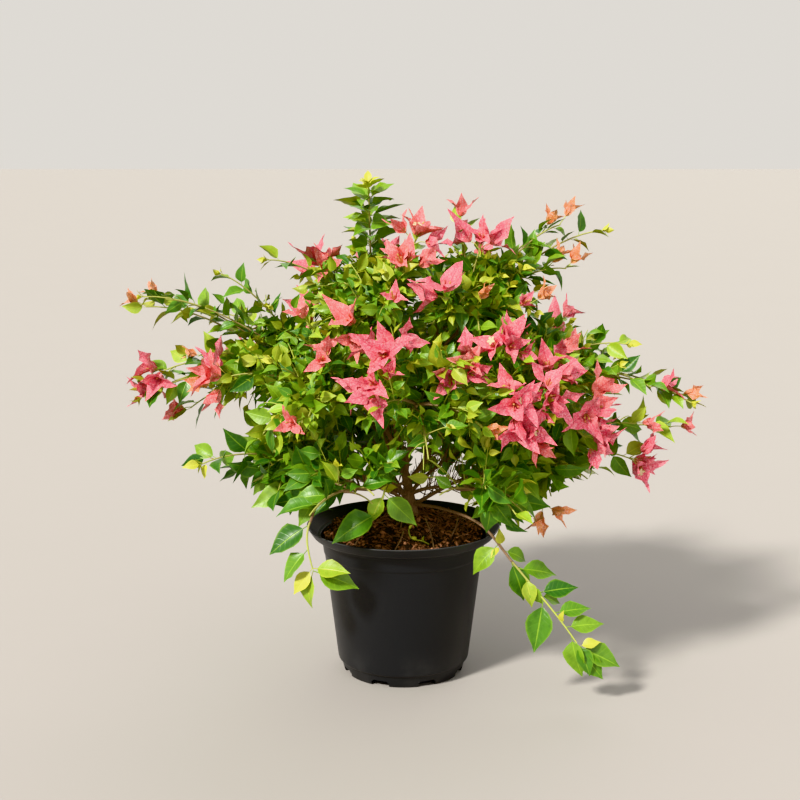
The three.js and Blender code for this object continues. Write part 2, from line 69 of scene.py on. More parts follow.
from types import SimpleNamespace as Named

import bmesh
import bpy
import numpy as np
from bpy.props import FloatProperty, FloatVectorProperty, IntProperty, PointerProperty
from mathutils import Matrix, Vector, noise

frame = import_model()

MM = 0.001
UP = np.array([0.0, 0.0, 1.0])
GOLDEN = 137.5  # degrees from one leaf or twig to the next

# The wood and the crown's tiers, in millimetres, as the solids have them.
TRUNK_FOOT = (9, 0, 198.3)
TRUNK_TOP = (-4, 2, 292)
TRUNK_RADII = (6.6, 3.6)
ROOT_FLARE = 4.2
CROWN_MIDDLE = np.array([14.0, 0.0, 0.0])
LOW_TIER = Named(name="low", count=6, first=0, reach=138, height=262, spread=(84, 84, 52),
                 root=(0.1, 0.36), radius=2.6, lift=0.1)
MIDDLE_TIER = Named(name="middle", count=7, first=12.9, reach=140, height=366, spread=(90, 90, 74),
                    root=(0.42, 0.9), radius=3.1, lift=0.42)
TOP_TIER = Named(name="top", count=4, first=50, reach=66, height=462, spread=(78, 78, 66),
                 root=0.42, radius=2.3, lift=1.6)
HANGING = (
    Named(name="hanging_right", start=0.14, over=(93, -82, 206), end=(128, -96, 166), tip=(221, -134, 48)),
    Named(name="hanging_left", start=0.24, over=(-88, -66, 262), end=(-110, -96, 214), tip=(-98, -112, 118)),
    Named(name="front_sprig", start=0.3, over=(-8, -44, 246), end=(-16, -78, 262), tip=(-30, -112, 222)),
)
HANGING_RADII = (2.1, 1.5)
HANGING_SPREAD = 46.0
STEM_STEPS = 6
FILL_SHOOTS = 4
FINER_SHOOTS = 6  # shorter shoots of a mass, which only the finer twigs and leaves carry
INWARD_SHARE = 0.62
ARCHES = (0.14, 0.09, 0.04, 0.0, -0.05)
TIP_MARGIN = 3
SHORTEST_SHOOT = 34
CLUSTER_DEPTH = 15  # how far a shoot stops short of the middle of its cluster
LEAFY_REACH = 16  # these leaves are shorter than the solids' are, so their shoots run on by this much
LEADER_REACH = 22
LEADER_STEP = 2.8  # from one leaf of the leader to the next
BODY_MIDDLE = np.array([20.0, 0.0, 368.0])  # the dense body that single shoots stand out of
BODY_RADII = np.array([198.0, 208.0, 150.0])
LIGHT_SIDE = np.array([-0.5, -0.6, 0.6])  # the side that the leaves turn to
OPEN_FLOWER = (121, -192, 374)  # the cluster whose flower stands open
RIM = Named(top=187, reach=124)  # no leaf grows within these
MOUND = Named(top=200, reach=100)
OVER_RIM = Named(top=214, reach=150)  # only hanging shoots have leaves here
SHADE_FLOOR = 206  # the lowest end of a bare twig
LOWER_FACE = Named(middle=236, right=-66, far_right=62, left=-40, slope=0.245)

# The kinds of twig: radius at the root, radius at the tip, and how green it is.
STEM = (2.2, 1.5, 0.1)
SHOOT = (1.5, 0.8, 0.35)
HANGING_STEM = (1.5, 0.9, 0.75)
CLUSTER_STALK = (0.6, 0.45, 0.8)
BARE_TWIG = (0.75, 0.35, 0.0)
BARE_FORK = (0.45, 0.3, 0.0)
DEAD_STEM = (1.0, 0.7, 0.1)
SPROUT_STEM = (0.8, 0.6, 1.0)
SIDE_TWIG_RADII = (0.8, 0.45)

# The blades. An outline is pairs of how far along and half the width, columns are the points across,
# a shape is fold, curl, wave and twist, stalk is its share of the length, and phase shifts the wave.
LEAF = Named(
    outline=(
        (0.0, 0.030), (0.09, 0.135), (0.22, 0.222), (0.37, 0.248), (0.53, 0.214), (0.69, 0.140),
        (0.84, 0.058), (1.0, 0.0),
    ),
    columns=(-1.0, -0.52, 0.0, 0.52, 1.0),
    shapes=(
        (0.36, 0.10, 0.08, 0.1), (0.80, 0.20, 0.10, -0.15), (0.56, 0.32, 0.08, 0.12),
        (0.44, 0.16, 0.20, 0.2), (0.68, 0.04, 0.12, -0.25),
    ),
    stalk=0.15, phase=1.7, seed=20,
)
BRACT = Named(
    outline=(
        (0.0, 0.05), (0.09, 0.145), (0.20, 0.205), (0.32, 0.235), (0.44, 0.225), (0.56, 0.185),
        (0.68, 0.135), (0.80, 0.085), (0.91, 0.038), (1.0, 0.0),
    ),
    columns=(-1.0, -0.7, -0.36, 0.0, 0.36, 0.7, 1.0),
    shapes=(
        (0.55, 0.06, 0.34, 0.2), (0.40, 0.30, 0.44, -0.3), (0.75, 0.14, 0.52, 0.5),
        (0.35, -0.16, 0.42, -0.5), (0.90, 0.22, 0.36, -0.15), (0.50, -0.06, 0.60, 0.35),
    ),
    stalk=0.0, phase=1.3, seed=40,
)
FLOWER_SEED = 60
STALK_RADIUS = 0.011  # of a leaf whose length is 1
TWIG_SIDES = 6
POT_SIDES = 176
CRISP_EDGE = 42  # degrees, from which an edge of the pot isn't shaded smooth
SLOT_DEPTH = 0.024  # of the block that cuts a drain slot, in metres
SLOT_ROUNDING = 0.0022
SOIL_RINGS = 44
SOIL_SIDES = 132
# The bark, in millimetres: points round a limb, the step along it, the relief and the flare of the foot.
TRUNK_BARK = dict(sides=40, step=0.9, relief=0.10, flare=ROOT_FLARE)
BOUGH_BARK = dict(sides=14, step=2.6, relief=0.07, flare=0.0)

# The stage, in metres. A light is its place, its width in degrees, its strength and its colour.
FLOOR_SIZE = 60.0
FLOOR_RGB = (0.383, 0.366, 0.348)
ROOM_RGBA = (0.97, 0.935, 0.882, 1.0)
ROOM_STRENGTH = 0.80
LIGHTS = {
    "key": ((-1.7, -1.9, 2.5), 9.0, 5.0, (1.0, 0.95, 0.87)),
    "fill": ((1.3, -2.4, 0.9), 50.0, 0.5, (0.96, 0.97, 1.0)),
    "back": ((0.9, 2.2, 2.2), 50.0, 0.8, (1.0, 0.97, 0.93)),
}
LIGHTS_AIM = (0.0, 0.0, 0.32)
CAMERA = Named(place=(-0.0043, -1.6964, 0.6563), tilt_down=10.487, lens=63.45, sensor=36.0)

# Long shoots that stand clear of the crown: across, back and up.
LEAFY_SHOOTS = (
    (-42, 14, 582), (-150, 0, 506), (-208, -10, 486), (-298, -18, 464), (-300, -28, 352),
    (-226, -56, 274), (226, 0, 540), (332, -20, 344), (256, 0, 406), (-60, 190, 500),
    (120, 232, 470), (270, 150, 372), (-240, 170, 420), (20, 290, 372), (180, 200, 250),
    (-150, 240, 262),
)
LEADER = LEAFY_SHOOTS[0]
# Clusters of bracts that the solids carry: across, back, up, how many threes of bracts, and their finish.
BLOOMS = (
    (19, -62, 552, 3, "coral"), (8, -100, 520, 3, "coral"), (42, -132, 488, 2, "pink"),
    (92, -62, 546, 3, "pink"), (-57, -150, 450, 2, "coral"), (-86, -172, 420, 2, "coral"),
    (-18, -188, 436, 3, "pink"), (-34, -200, 396, 3, "pink"), (-112, -122, 466, 1, "coral"),
    (-222, -62, 384, 3, "coral"), (-302, -24, 384, 2, "pink"), (112, -152, 438, 4, "pink"),
    (74, -172, 414, 3, "coral"), (121, -192, 374, 4, "pink"), (160, -172, 376, 3, "pink"),
    (132, -182, 336, 3, "coral"), (176, -132, 396, 2, "pink"), (222, -102, 352, 3, "coral"),
    (220, -112, 312, 3, "pink"), (286, -52, 282, 4, "pink"), (288, -60, 330, 1, "coral"),
    (186, -82, 420, 2, "coral"), (172, -80, 222, 2, "peach"), (176, 0, 556, 1, "peach"),
    (-6, -142, 476, 1, "pink"), (-117, -172, 344, 1, "coral"),
)
# Smaller clusters and buds that only the finer twigs carry.
SMALL_BLOOMS = (
    (65, -30, 570, 1, "coral"), (100, -185, 340, 1, "peach"), (-235, -50, 368, 1, "peach"),
    (-254, -20, 402, 1, "peach"), (-274, -10, 330, 1, "coral"), (96, -140, 286, 1, "peach"),
    (165, -60, 470, 1, "peach"), (139, -90, 462, 1, "coral"), (86, -110, 474, 1, "peach"),
    (197, -6, 566, 1, "peach"), (207, -10, 510, 1, "peach"), (185, -10, 512, 1, "peach"),
    (-300, 0, 474, 1, "peach"), (-324, -6, 464, 1, "peach"), (-312, -30, 358, 1, "coral"),
    (336, -36, 320, 1, "coral"), (312, -30, 362, 1, "pink"), (346, -16, 350, 1, "peach"),
)
# Low shoots that only the finer twigs carry.
LOW_SHOOTS = (
    (-120, -104, 262), (-62, -122, 244), (-80, -100, 262), (-170, -40, 262), (-128, -58, 230),
    (-104, -84, 226), (-150, -84, 244), (152, -92, 222), (124, -112, 214), (96, -116, 232),
    (150, -60, 246), (178, -60, 262), (-112, 60, 232), (-58, 96, 228), (4, 112, 228), (64, 100, 228),
    (112, 66, 226),
)
# The leaves that show singly over the rim: how far each stalk stands past the end of its bough
# (less than 0 is on the bough), where its tip lies, and its finish.
SINGLE_LEAVES = {
    "hanging_right": (
        (-26, (75, -99, 152), "mid"), (-23, (101, -100, 172), "young"), (-23, (113, -96, 206), "young"),
        (-17, (153, -85, 165), "mid"), (-3, (146, -101, 116), "deep"), (10, (185, -94, 152), "mid"),
        (24, (152, -116, 115), "fresh"), (33, (162, -114, 116), "mid"), (47, (208, -102, 139), "deep"),
        (52, (187, -93, 114), "mid"), (57, (153, -119, 60), "deep"), (77, (222, -110, 116), "mid"),
        (98, (237, -117, 99), "mid"), (109, (206, -134, 33), "mid"), (120, (220, -142, 40), "deep"),
        (125, (234, -133, 31), "mid"), (125, (256, -123, 46), "mid"), (92, (184, -126, 116), "young"),
        (125, (232, -127, 80), "young"),
    ),
    "hanging_left": (
        (-30, (-156, -97, 239), "deep"), (-43, (-139, -93, 279), "deep"), (-36, (-126, -92, 207), "mid"),
        (-46, (-140, -69, 238), "deep"), (3, (-162, -108, 180), "deep"), (32, (-146, -114, 148), "mid"),
        (55, (-62, -130, 165), "fresh"), (58, (-50, -120, 142), "mid"), (55, (-131, -114, 131), "young"),
        (58, (-119, -116, 112), "fresh"),
    ),
    "front_sprig": (
        (20, (-36, -108, 296), "deep"), (20, (-3, -100, 288), "mid"), (27, (-42, -111, 215), "fresh"),
        (27, (16, -111, 213), "mid"), (50, (-87, -126, 200), "deep"), (24, (-9, -112, 262), "young"),
        (24, (-20, -114, 264), "young"),
    ),
}
# Dead stems that stand in the soil, from foot to top.
DEAD_STEMS = (
    ((-12, -92, 176), (0, -74, 197)), ((36, -78, 178), (26, -62, 210)), ((-4, -44, 188), (-3, -40, 214)),
    ((-58, -74, 180), (-50, -60, 196)), ((58, -50, 184), (66, -40, 204)),
)
SPROUT = ((30, -74, 181), (22, -80, 187), (9, -76, 189), (6, -68, 197))  # a curled new shoot in the soil
BACK_BLOOMS = Named(heights=(300, 372, 440, 505), reach=(238, 236, 200, 130), per_ring=3, first=22, span=136)


# Sizes and colours.


def length(name, text, value):
    return FloatProperty(name=name, description=text, default=value, min=0.0, unit="LENGTH", precision=4)


def angle(name, text, degrees):
    return FloatProperty(name=name, description=text, default=math.radians(degrees), subtype="ANGLE")


def colour(name, text, value):
    settings = dict(size=3, min=0.0, max=1.0, subtype="COLOR")
    return FloatVectorProperty(name=name, description=text, default=value, **settings)


class BushPotSizes(bpy.types.PropertyGroup):
    rim_radius: length("Rim radius", "Outside radius of the crest of the rim", 0.120)
    height: length("Height", "From the floor to the crest of the rim", 0.187)
    band_height: length("Rim band", "Height of the outer face of the rim", 0.0125)
    band_flare: length("Rim flare", "How far the rim band leans out", 0.007)
    overhang: length("Rim overhang", "From the lower edge of the band in to the wall", 0.011)
    ridge_drop: length("Ridge drop", "From the crest down to the faint step in the wall", 0.034)
    foot_radius: length("Foot radius", "Radius of the wall above its foot band", 0.0815)
    foot_height: length("Foot height", "Height of the foot band", 0.015)
    base_radius: length("Base radius", "Radius of the underside", 0.075)
    wall: length("Wall", "Thickness of the wall", 0.0026)
    slots: IntProperty(name="Drain slots", description="Slots through the foot band", default=8, min=0)
    slot_width: length("Slot width", "Width of one drain slot", 0.023)
    slot_height: length("Slot height", "Height of one drain slot", 0.0075)


class BushSoilSizes(bpy.types.PropertyGroup):
    edge_height: length("Edge height", "Height of the soil at the wall", 0.176)
    top_height: length("Top height", "Height of the soil round the trunk", 0.198)
    lump: length("Lump", "Rise and fall of the soil's surface", 0.0090)
    chip: length("Chip", "Length of a large bark chip", 0.0125)
    chips: FloatProperty(name="Chips", description="Chips to each square metre", default=26000, min=0)
    fibres: FloatProperty(name="Fibres", description="Root fibres to each square metre", default=15000, min=0)


class BushLeafSizes(bpy.types.PropertyGroup):
    low_leaf: length("Low leaf", "Length of a leaf at the foot of the crown", 0.053)
    high_leaf: length("High leaf", "Length of a leaf at the top of the crown", 0.033)
    leaf_step: length("Leaf step", "Distance between two leaves of a shoot", 0.0084)
    twig_step: length("Twig step", "Distance between two side twigs of a shoot", 0.0096)
    twig_length: length("Twig length", "Length of a side twig", 0.058)
    lean: angle("Lean", "Angle of a leaf to its twig", 54)
    bract: length("Bract", "Length of a bract", 0.040)
    bud_bract: length("Bud bract", "Length of a bract that is still opening", 0.029)


class BushColours(bpy.types.PropertyGroup):
    pot: colour("Pot", "Plastic of the pot", (0.0150, 0.0168, 0.0200))
    soil: colour("Soil", "Wet mix", (0.016, 0.008, 0.004))
    chip: colour("Chip", "Bark chips and fibres", (0.68, 0.34, 0.20))
    bark: colour("Bark", "Bark of the trunk and boughs", (0.43, 0.28, 0.17))
    green_twig: colour("Green twig", "Skin of this year's twigs", (0.42, 0.48, 0.100))
    # Deep leaves dealt inside the crown and low down stand partly for painted shade.
    deep_leaf: colour("Deep leaf", "Old leaves", (0.025, 0.106, 0.016))
    mid_leaf: colour("Middle leaf", "Grown leaves", (0.087, 0.226, 0.022))
    fresh_leaf: colour("Fresh leaf", "This year's leaves", (0.245, 0.412, 0.038))
    young_leaf: colour("Young leaf", "Leaves that are still opening", (0.470, 0.500, 0.065))
    pink: colour("Pink", "Open bracts", (0.94, 0.225, 0.300))
    coral: colour("Coral", "Bracts with a golden tinge", (0.94, 0.285, 0.265))
    peach: colour("Peach", "Bracts that are still opening", (0.86, 0.42, 0.16))
    cream: colour("Cream", "Open flowers", (0.93, 0.86, 0.52))


# The growth rule.


def seeded(seed):
    """A stream of numbers from 0 to 1 that is the same on every run."""
    state = seed * 7919 + 13

    def draw():
        nonlocal state
        state = (state * 48271) % 2147483647
        return state / 2147483647

    return draw


def mix(a, b, t):
    return a + (b - a) * t


def unit(vector):
    return vector / max(float(np.linalg.norm(vector)), 1e-9)


def past(value, edge, span):
    """How far value is past edge: 0 up to the edge, 1 from a span beyond it."""
    return float(np.clip((value - edge) / span, 0, 1))


def around(degrees):
    return np.array([math.cos(math.radians(degrees)), math.sin(math.radians(degrees)), 0.0])


def bezier(corners, shares):
    a, b, c, d = (np.asarray(p, float) for p in corners)
    t = np.atleast_1d(np.asarray(shares, float))[:, None]
    return (1 - t) ** 3 * a + 3 * (1 - t) ** 2 * t * b + 3 * (1 - t) * t**2 * c + t**3 * d


def through(points, shares):
    """A centripetal Catmull-Rom curve through points."""
    knots = [np.asarray(p, float) for p in points]
    knots = [2 * knots[0] - knots[1], *knots, 2 * knots[-1] - knots[-2]]
    spans = len(knots) - 3
    made = []
    for t in np.atleast_1d(shares):
        i = min(int(t * spans), spans - 1)
        w = t * spans - i
        p0, p1, p2, p3 = knots[i : i + 4]
        pairs = ((p0, p1), (p1, p2), (p2, p3))
        d0, d1, d2 = (max(float(np.linalg.norm(b - a)), 1e-6) ** 0.5 for a, b in pairs)
        m1 = ((p1 - p0) / d0 - (p2 - p0) / (d0 + d1) + (p2 - p1) / d1) * d1
        m2 = ((p2 - p1) / d1 - (p3 - p1) / (d1 + d2) + (p3 - p2) / d2) * d1
        made.append(
            p1 + m1 * w + (3 * (p2 - p1) - 2 * m1 - m2) * w**2 + (2 * (p1 - p2) + m1 + m2) * w**3
        )
    return np.array(made)


class Path:
    """A line of close points that is read by the distance from its root."""

    def __init__(self, points):
        self.points = np.asarray(points, float)
        steps = np.linalg.norm(np.diff(self.points, axis=0), axis=1)
        self.reach = np.concatenate([[0.0], np.cumsum(steps)])
        self.length = float(self.reach[-1])

    def at(self, distance):
        return np.array([np.interp(distance, self.reach, self.points[:, k]) for k in range(3)])

    def heading(self, distance):
        return unit(self.at(min(distance + 1.5, self.length)) - self.at(max(distance - 1.5, 0.0)))


def cross_frame(along):
    guide = np.array([1.0, 0.0, 0.0]) if abs(along[2]) > 0.9 else UP
    across = unit(np.cross(along, guide))
    return across, unit(np.cross(along, across))


def spun(along, turn):
    """The direction square to along that turn, in radians, leads to."""
    across, beside = cross_frame(along)
    return across * math.cos(turn) + beside * math.sin(turn)


def leaned(along, turn, lean):
    """The direction that leans off along, to the side that turn leads to. Both are in radians."""
    return along * math.cos(lean) + spun(along, turn) * math.sin(lean)


def spiral_way(turn, i, level):
    """The direction of the i-th of some shoots that part evenly. level is how high it looks, from -1 to 1."""
    return around(turn + i * GOLDEN) * math.sqrt(1 - level * level) + UP * level


def limb_corners(root, end, out, lift):
    """The control points of a bough that rises first and then leans out."""
    reach = float(np.linalg.norm(end - root))
    first = root + out * 0.22 * reach + UP * 0.3 * reach * (0.3 + lift)
    last = end - out * 0.34 * reach - UP * 0.16 * reach * lift
    return (root, first, last, end)


def shoot_corners(root, tip, arch):
    rise = UP * arch * float(np.linalg.norm(tip - root))
    return (root, mix(root, tip, 0.35) + rise, mix(root, tip, 0.72) + rise, tip)


class Crown:
    """The limbs, the masses of foliage, and every shoot, twig, leaf, bract and flower."""

    def __init__(self, sizes):
        self.sizes = sizes
        self.limbs = []  # name, path, radius at the root, radius at the tip
        self.masses = []
        self.twigs = []  # path, radius at the root, radius at the tip, how green
        self.leaves = {kind: [] for kind in ("deep", "mid", "fresh", "young")}
        self.bracts = {kind: [] for kind in ("pink", "coral", "peach")}
        self.flowers = {kind: [] for kind in ("tubes", "stars")}
        self.grow_limbs()
        self.deal_tips()
        self.stems_in_soil()
        for index, mass in enumerate(self.masses):
            self.grow_mass(mass, seeded(index + 501))

    def grow_limbs(self):
        foot, top = np.array(TRUNK_FOOT, float), np.array(TRUNK_TOP, float)
        rise = top[2] - foot[2]
        trunk = (foot, foot + UP * 0.35 * rise, top + np.array([2.0, 0, -0.35 * rise]), top)
        self.limbs.append(("trunk", Path(bezier(trunk, np.linspace(0, 1, 61))), *TRUNK_RADII))
        middle = []
        for tier in (LOW_TIER, MIDDLE_TIER, TOP_TIER):
            for i in range(tier.count):
                out = around(tier.first + 360 * i / tier.count)
                heart = CROWN_MIDDLE + out * tier.reach + UP * tier.height
                if tier is TOP_TIER:
                    end = heart - UP * 0.55 * tier.spread[2] - out * 8
                    parent = min(middle, key=lambda bough: np.linalg.norm(bezier(bough, 0.5)[0] - end))
                    root = bezier(parent, tier.root)[0]
                else:
                    end = heart - out * 0.5 * tier.spread[0] - UP * 0.2 * tier.spread[2]
                    root = bezier(trunk, mix(*tier.root, (3 * i) % tier.count / (tier.count - 1)))[0]
                corners = limb_corners(root, end, out, tier.lift)
                if tier is MIDDLE_TIER:
                    middle.append(corners)
                line, spread = bezier(corners, np.linspace(0, 1, 41)), np.array(tier.spread, float)
                self.add_mass(f"{tier.name}_{i + 1}", line, (tier.radius, 0.6 * tier.radius), heart, spread,
                              out, end, end - corners[2])
        for limb in HANGING:
            root = bezier(trunk, limb.start)[0]
            over, end, tip = (np.array(place, float) for place in (limb.over, limb.end, limb.tip))
            line = through([root, mix(root, over, 0.5) + UP * 6, over, end], np.linspace(0, 1, 61))
            self.add_mass(limb.name, line, HANGING_RADII, mix(end, tip, 0.5), np.full(3, HANGING_SPREAD),
                          unit((end - root) * np.array([1, 1, 0])), end, line[-1] - line[-2], tip)

    def add_mass(self, name, line, radii, heart, spread, out, entry, heading, hangs_to=None):
        """A limb, and the mass of leaves that begins at its end."""
        limb = Path(line)
        self.limbs.append((name, limb, *radii))
        self.masses.append(Named(name=name, limb=limb, heart=heart, spread=spread, out=out, entry=entry,
                                 heading=unit(heading), hangs_to=hangs_to, tips=[], small=[]))

    def inside_cell(self, mass, points):
        """How far points lie inside a mass's cell: the cells part halfway between two hearts."""
        points = np.atleast_2d(points)
        least = np.full(len(points), np.inf)
        for other in self.masses:
            if other is not mass:
                apart = other.heart - mass.heart
                middle = (other.heart + mass.heart) / 2
                least = np.minimum(least, (middle - points) @ apart / np.linalg.norm(apart))
        return least

    def deal_tips(self):
        """Every named tip goes to the mass whose cell holds it, and each mass fills its own space."""

        def deal(place, bloom, kind, masses=self.masses):
            tip = np.array(place, float)
            getattr(max(masses, key=lambda mass: self.inside_cell(mass, tip)[0]), kind).append((tip, bloom))

        for place in LEAFY_SHOOTS:
            deal(place, "leafy", "tips")
        for bloom in BLOOMS:
            deal(bloom[:3], bloom[3:], "tips")
        rings = BACK_BLOOMS
        for ring, (height, reach) in enumerate(zip(rings.heights, rings.reach)):
            for i in range(rings.per_ring):
                turn = rings.first + rings.span * (i + 0.5 * (ring % 2)) / (rings.per_ring - 0.5)
                bloom = (2 + (i + ring) % 2, ("pink", "coral")[(i + ring) % 2])
                deal(CROWN_MIDDLE + around(turn) * reach + UP * height, bloom, "tips")
        for bloom in SMALL_BLOOMS:
            deal(bloom[:3], bloom[3:], "small")
        for place in LOW_SHOOTS:
            deal(place, None, "small", [mass for mass in self.masses if mass.hangs_to is None])
        for index, mass in enumerate(self.masses):
            if mass.hangs_to is None:
                draw = seeded(index + 1)
                turn = 360 * draw()
                for i in range(FILL_SHOOTS):
                    way = spiral_way(turn, i, 1 - 2 * (i + 0.5) / FILL_SHOOTS)
                    reach = mix(1, INWARD_SHARE, max(0.0, -float(way @ mass.out))) * mix(0.9, 1.08, draw())
                    mass.tips.append((mass.heart + way * mass.spread * reach, None))

    def out_of_body(self, point):
        """1 on the face of the dense body, less inside it and more outside."""
        return float(np.linalg.norm((point - BODY_MIDDLE) / BODY_RADII))

    def roomy_path(self, mass, root, tip):
        """The first arch from root towards tip that keeps to the mass's cell, or None."""
        end = tip.copy()
        while self.inside_cell(mass, end)[0] < TIP_MARGIN and np.linalg.norm(root - end) > SHORTEST_SHOOT:
            end = mix(end, root, 0.1)
        if np.linalg.norm(root - end) <= SHORTEST_SHOOT:
            return None
        for arch in ARCHES:
            points = bezier(shoot_corners(root, end, arch), np.linspace(0, 1, 25))
            if self.inside_cell(mass, points).min() > 2:
                return Path(points)
        return None

    def grow_mass(self, mass, draw):
        hangs = mass.hangs_to is not None
        start = mass.entry + mass.heading * 0.3
        end = mass.hangs_to if hangs else mass.heart + mass.out * 0.3 * mass.spread[0]
        reach = float(np.linalg.norm(end - start))
        stem = (start, start + mass.heading * 0.3 * reach, mix(start, end, 0.66) + UP * 0.08 * reach, end)
        line = Path(bezier(stem, np.linspace(0, 1, 31)))
        if hangs:
            self.single_leaves(SINGLE_LEAVES[mass.name], mass.limb, line)
        else:
            self.twigs.append((line, *STEM))
            self.side_twigs(mass, line, draw, 10)
        for i, (tip, bloom) in enumerate(mass.tips):
            ring = math.ceil(mix(1, STEM_STEPS, (i + 0.5) / len(mass.tips)))
            self.grow_shoot(mass, bezier(stem, ring / STEM_STEPS)[0], tip, bloom, draw)
        for tip, bloom in mass.small:
            self.grow_shoot(mass, bezier(stem, 0.8)[0], tip, bloom, draw)
        if hangs:
            return
        turn = 360 * draw()
        for i in range(FINER_SHOOTS):
            way = spiral_way(turn, i, 0.9 - 1.8 * (i + 0.5) / FINER_SHOOTS) + mass.out * 0.35
            tip = mass.heart + way * mass.spread * mix(0.6, 0.95, draw())
            self.grow_shoot(mass, bezier(stem, mix(0.3, 0.95, draw()))[0], tip, None, draw)
        self.bare_twigs(mass.limb, draw)

    def stems_in_soil(self):
        """A few dead stems, and one curled sprout with its first small leaves."""
        for foot, top in DEAD_STEMS:
            foot, top = np.array(foot, float), np.array(top, float)
            middle = mix(foot, top, 0.5) + np.array([1.5, 0.0, 0.0])
            self.twigs.append((Path([foot, middle, top]), *DEAD_STEM))
        line = Path(through(SPROUT, np.linspace(0, 1, 13)))
        self.twigs.append((line, *SPROUT_STEM))
        leaves = ((9, (-0.2, -0.5, 0.9)), (18, (-0.7, -0.4, 0.6)), (line.length, (0.5, -0.2, 0.9)))
        for distance, way in leaves:
            self.leaves["young"].append((line.at(distance), unit(np.array(way)), LIGHT_SIDE, 9.0))

    def bare_twigs(self, limb, draw):
        """Thin leafless twigs in the shade under the crown."""
        distance = 0.16 * limb.length
        while distance < 0.92 * limb.length:
            root, along = limb.at(distance), limb.heading(distance)
            across, beside = cross_frame(along)
            radial = spun(along, math.tau * draw())
            way = unit(along * 0.8 + radial * 0.75 + UP * 0.35)
            reach = mix(20, 48, draw())
            bend = unit(way + radial * 0.5 * (draw() - 0.5) + UP * 0.3)
            middle = root + way * 0.5 * reach
            tip = middle + bend * 0.5 * reach
            if tip[2] > SHADE_FLOOR:
                self.twigs.append((Path([root, middle, tip]), *BARE_TWIG))
                fork = unit(bend + (across - beside) * 0.7 * (draw() - 0.3))
                self.twigs.append((Path([middle, middle + fork * 0.35 * reach]), *BARE_FORK))
            distance += mix(*((2.5, 6) if root[2] < 320 else (5, 11)), draw())

    def single_leaves(self, places, limb, line):
        """A stem that hangs or stands before the pot, with each of its leaves in its own place."""
        whole = Path(np.vstack([limb.points, line.points]))
        farthest = max(place[0] for place in places) + 1
        shown = np.linspace(limb.length, limb.length + farthest, 24)
        self.twigs.append((Path([whole.at(distance) for distance in shown]), *HANGING_STEM))
        for i, (beyond, tip, kind) in enumerate(places):
            root = whole.at(limb.length + beyond)
            reach = np.array(tip, float) - root
            face = UP * 0.5 + LIGHT_SIDE + np.array([0.5 * (-1) ** i, -0.5, 0.0])
            self.leaves[kind].append((root, unit(reach), face, float(np.linalg.norm(reach))))

    def grow_shoot(self, mass, root, tip, bloom, draw):
        """A shoot with its leaves and side twigs. bloom is its cluster, "leafy" or None."""
        leafy = bloom == "leafy"
        leader = leafy and math.dist(tip, LEADER) < 1
        if leafy:
            tip = tip + unit(tip - root) * (LEADER_REACH if leader else LEAFY_REACH)
        elif bloom:
            tip = tip - unit(tip - root) * CLUSTER_DEPTH
        path = self.roomy_path(mass, root, tip)
        if path is None:
            return
        self.twigs.append((path, *SHOOT))
        kind = "young" if leafy else "fresh"
        self.leaves_along(mass, path, 18, 1.16 if leader else 1.0, draw, kind, leader)
        if leafy:
            self.add_tuft(path, 6 if leader else 3, 19 if leader else 14, draw)
        if mass.hangs_to is None:
            self.side_twigs(mass, path, draw, 20)
        if bloom and not leafy:
            self.add_cluster(path, *bloom, draw)

    def add_tuft(self, path, count, blade, draw):
        """Small leaves that are still opening, round the end of a leafy shoot."""
        along = path.heading(path.length)
        for i in range(count):
            radial = spun(along, math.radians(GOLDEN * i))
            heading = unit(along + radial * mix(0.35, 0.9, draw()))
            root = path.at(path.length - 1.5 * i)
            self.leaves["young"].append((root, heading, along - radial * 0.8, blade * mix(0.7, 1.1, draw())))

    def side_twigs(self, mass, path, draw, start):
        """Twigs in turn along a shoot, fewer and shorter where it stands out of the dense body."""
        distance, turn = start, 360 * draw()
        while distance < path.length - 14:
            root, along = path.at(distance), path.heading(distance)
            turn += GOLDEN
            way = unit(leaned(along, math.radians(turn), math.radians(mix(38, 62, draw()))) + UP * 0.22)
            reach = self.sizes.twig_length * mix(0.55, 1.15, draw()) * mix(1.0, 0.62, distance / path.length)
            beyond = self.out_of_body(root + way * reach * 0.6)
            single = past(beyond, 0.92, 0.3)
            reach *= mix(1.0, 0.5, single)
            distance += self.sizes.twig_step * mix(0.75, 1.3, draw()) * mix(1.0, 1.8, single)
            tip = root + way * reach
            if draw() < 0.8 * single or self.inside_cell(mass, tip)[0] < -8 or not self.open_air(tip, 6):
                continue
            twig = Path(bezier(shoot_corners(root, tip, mix(0.02, 0.14, draw())), np.linspace(0, 1, 7)))
            self.twigs.append((twig, *SIDE_TWIG_RADII, mix(0.4, 1.0, draw())))
            young = beyond > 0.94 and tip[2] > 250 and draw() < 0.42
            self.leaves_along(mass, twig, 9, 0.9, draw, "young" if young else "fresh")
            if young:
                self.add_tuft(twig, 2, 12, draw)

    def open_air(self, point, gap, hangs=False):
        """True where a leaf has room: off the soil and the pot, and, unless it hangs, off the rim."""
        radius = math.hypot(point[0], point[1])
        if point[2] < RIM.top + gap and radius < RIM.reach + gap:
            return False
        if point[2] < MOUND.top + gap and radius < MOUND.reach:
            return False
        if hangs:
            return point[2] > 6
        over_rim = radius < OVER_RIM.reach and point[2] < OVER_RIM.top
        return not over_rim and point[2] > max(6, self.underside(point))

    def underside(self, point):
        """The height of the crown's lower face, which rises to the front and is lowest at the right."""
        if point[1] > 20:
            return 0.0
        face = LOWER_FACE
        height = face.middle + face.right * past(point[0], 40, 40) + face.far_right * past(point[0], 150, 40)
        return height + face.left * past(-point[0], 30, 40) + face.slope * max(0.0, -point[1])

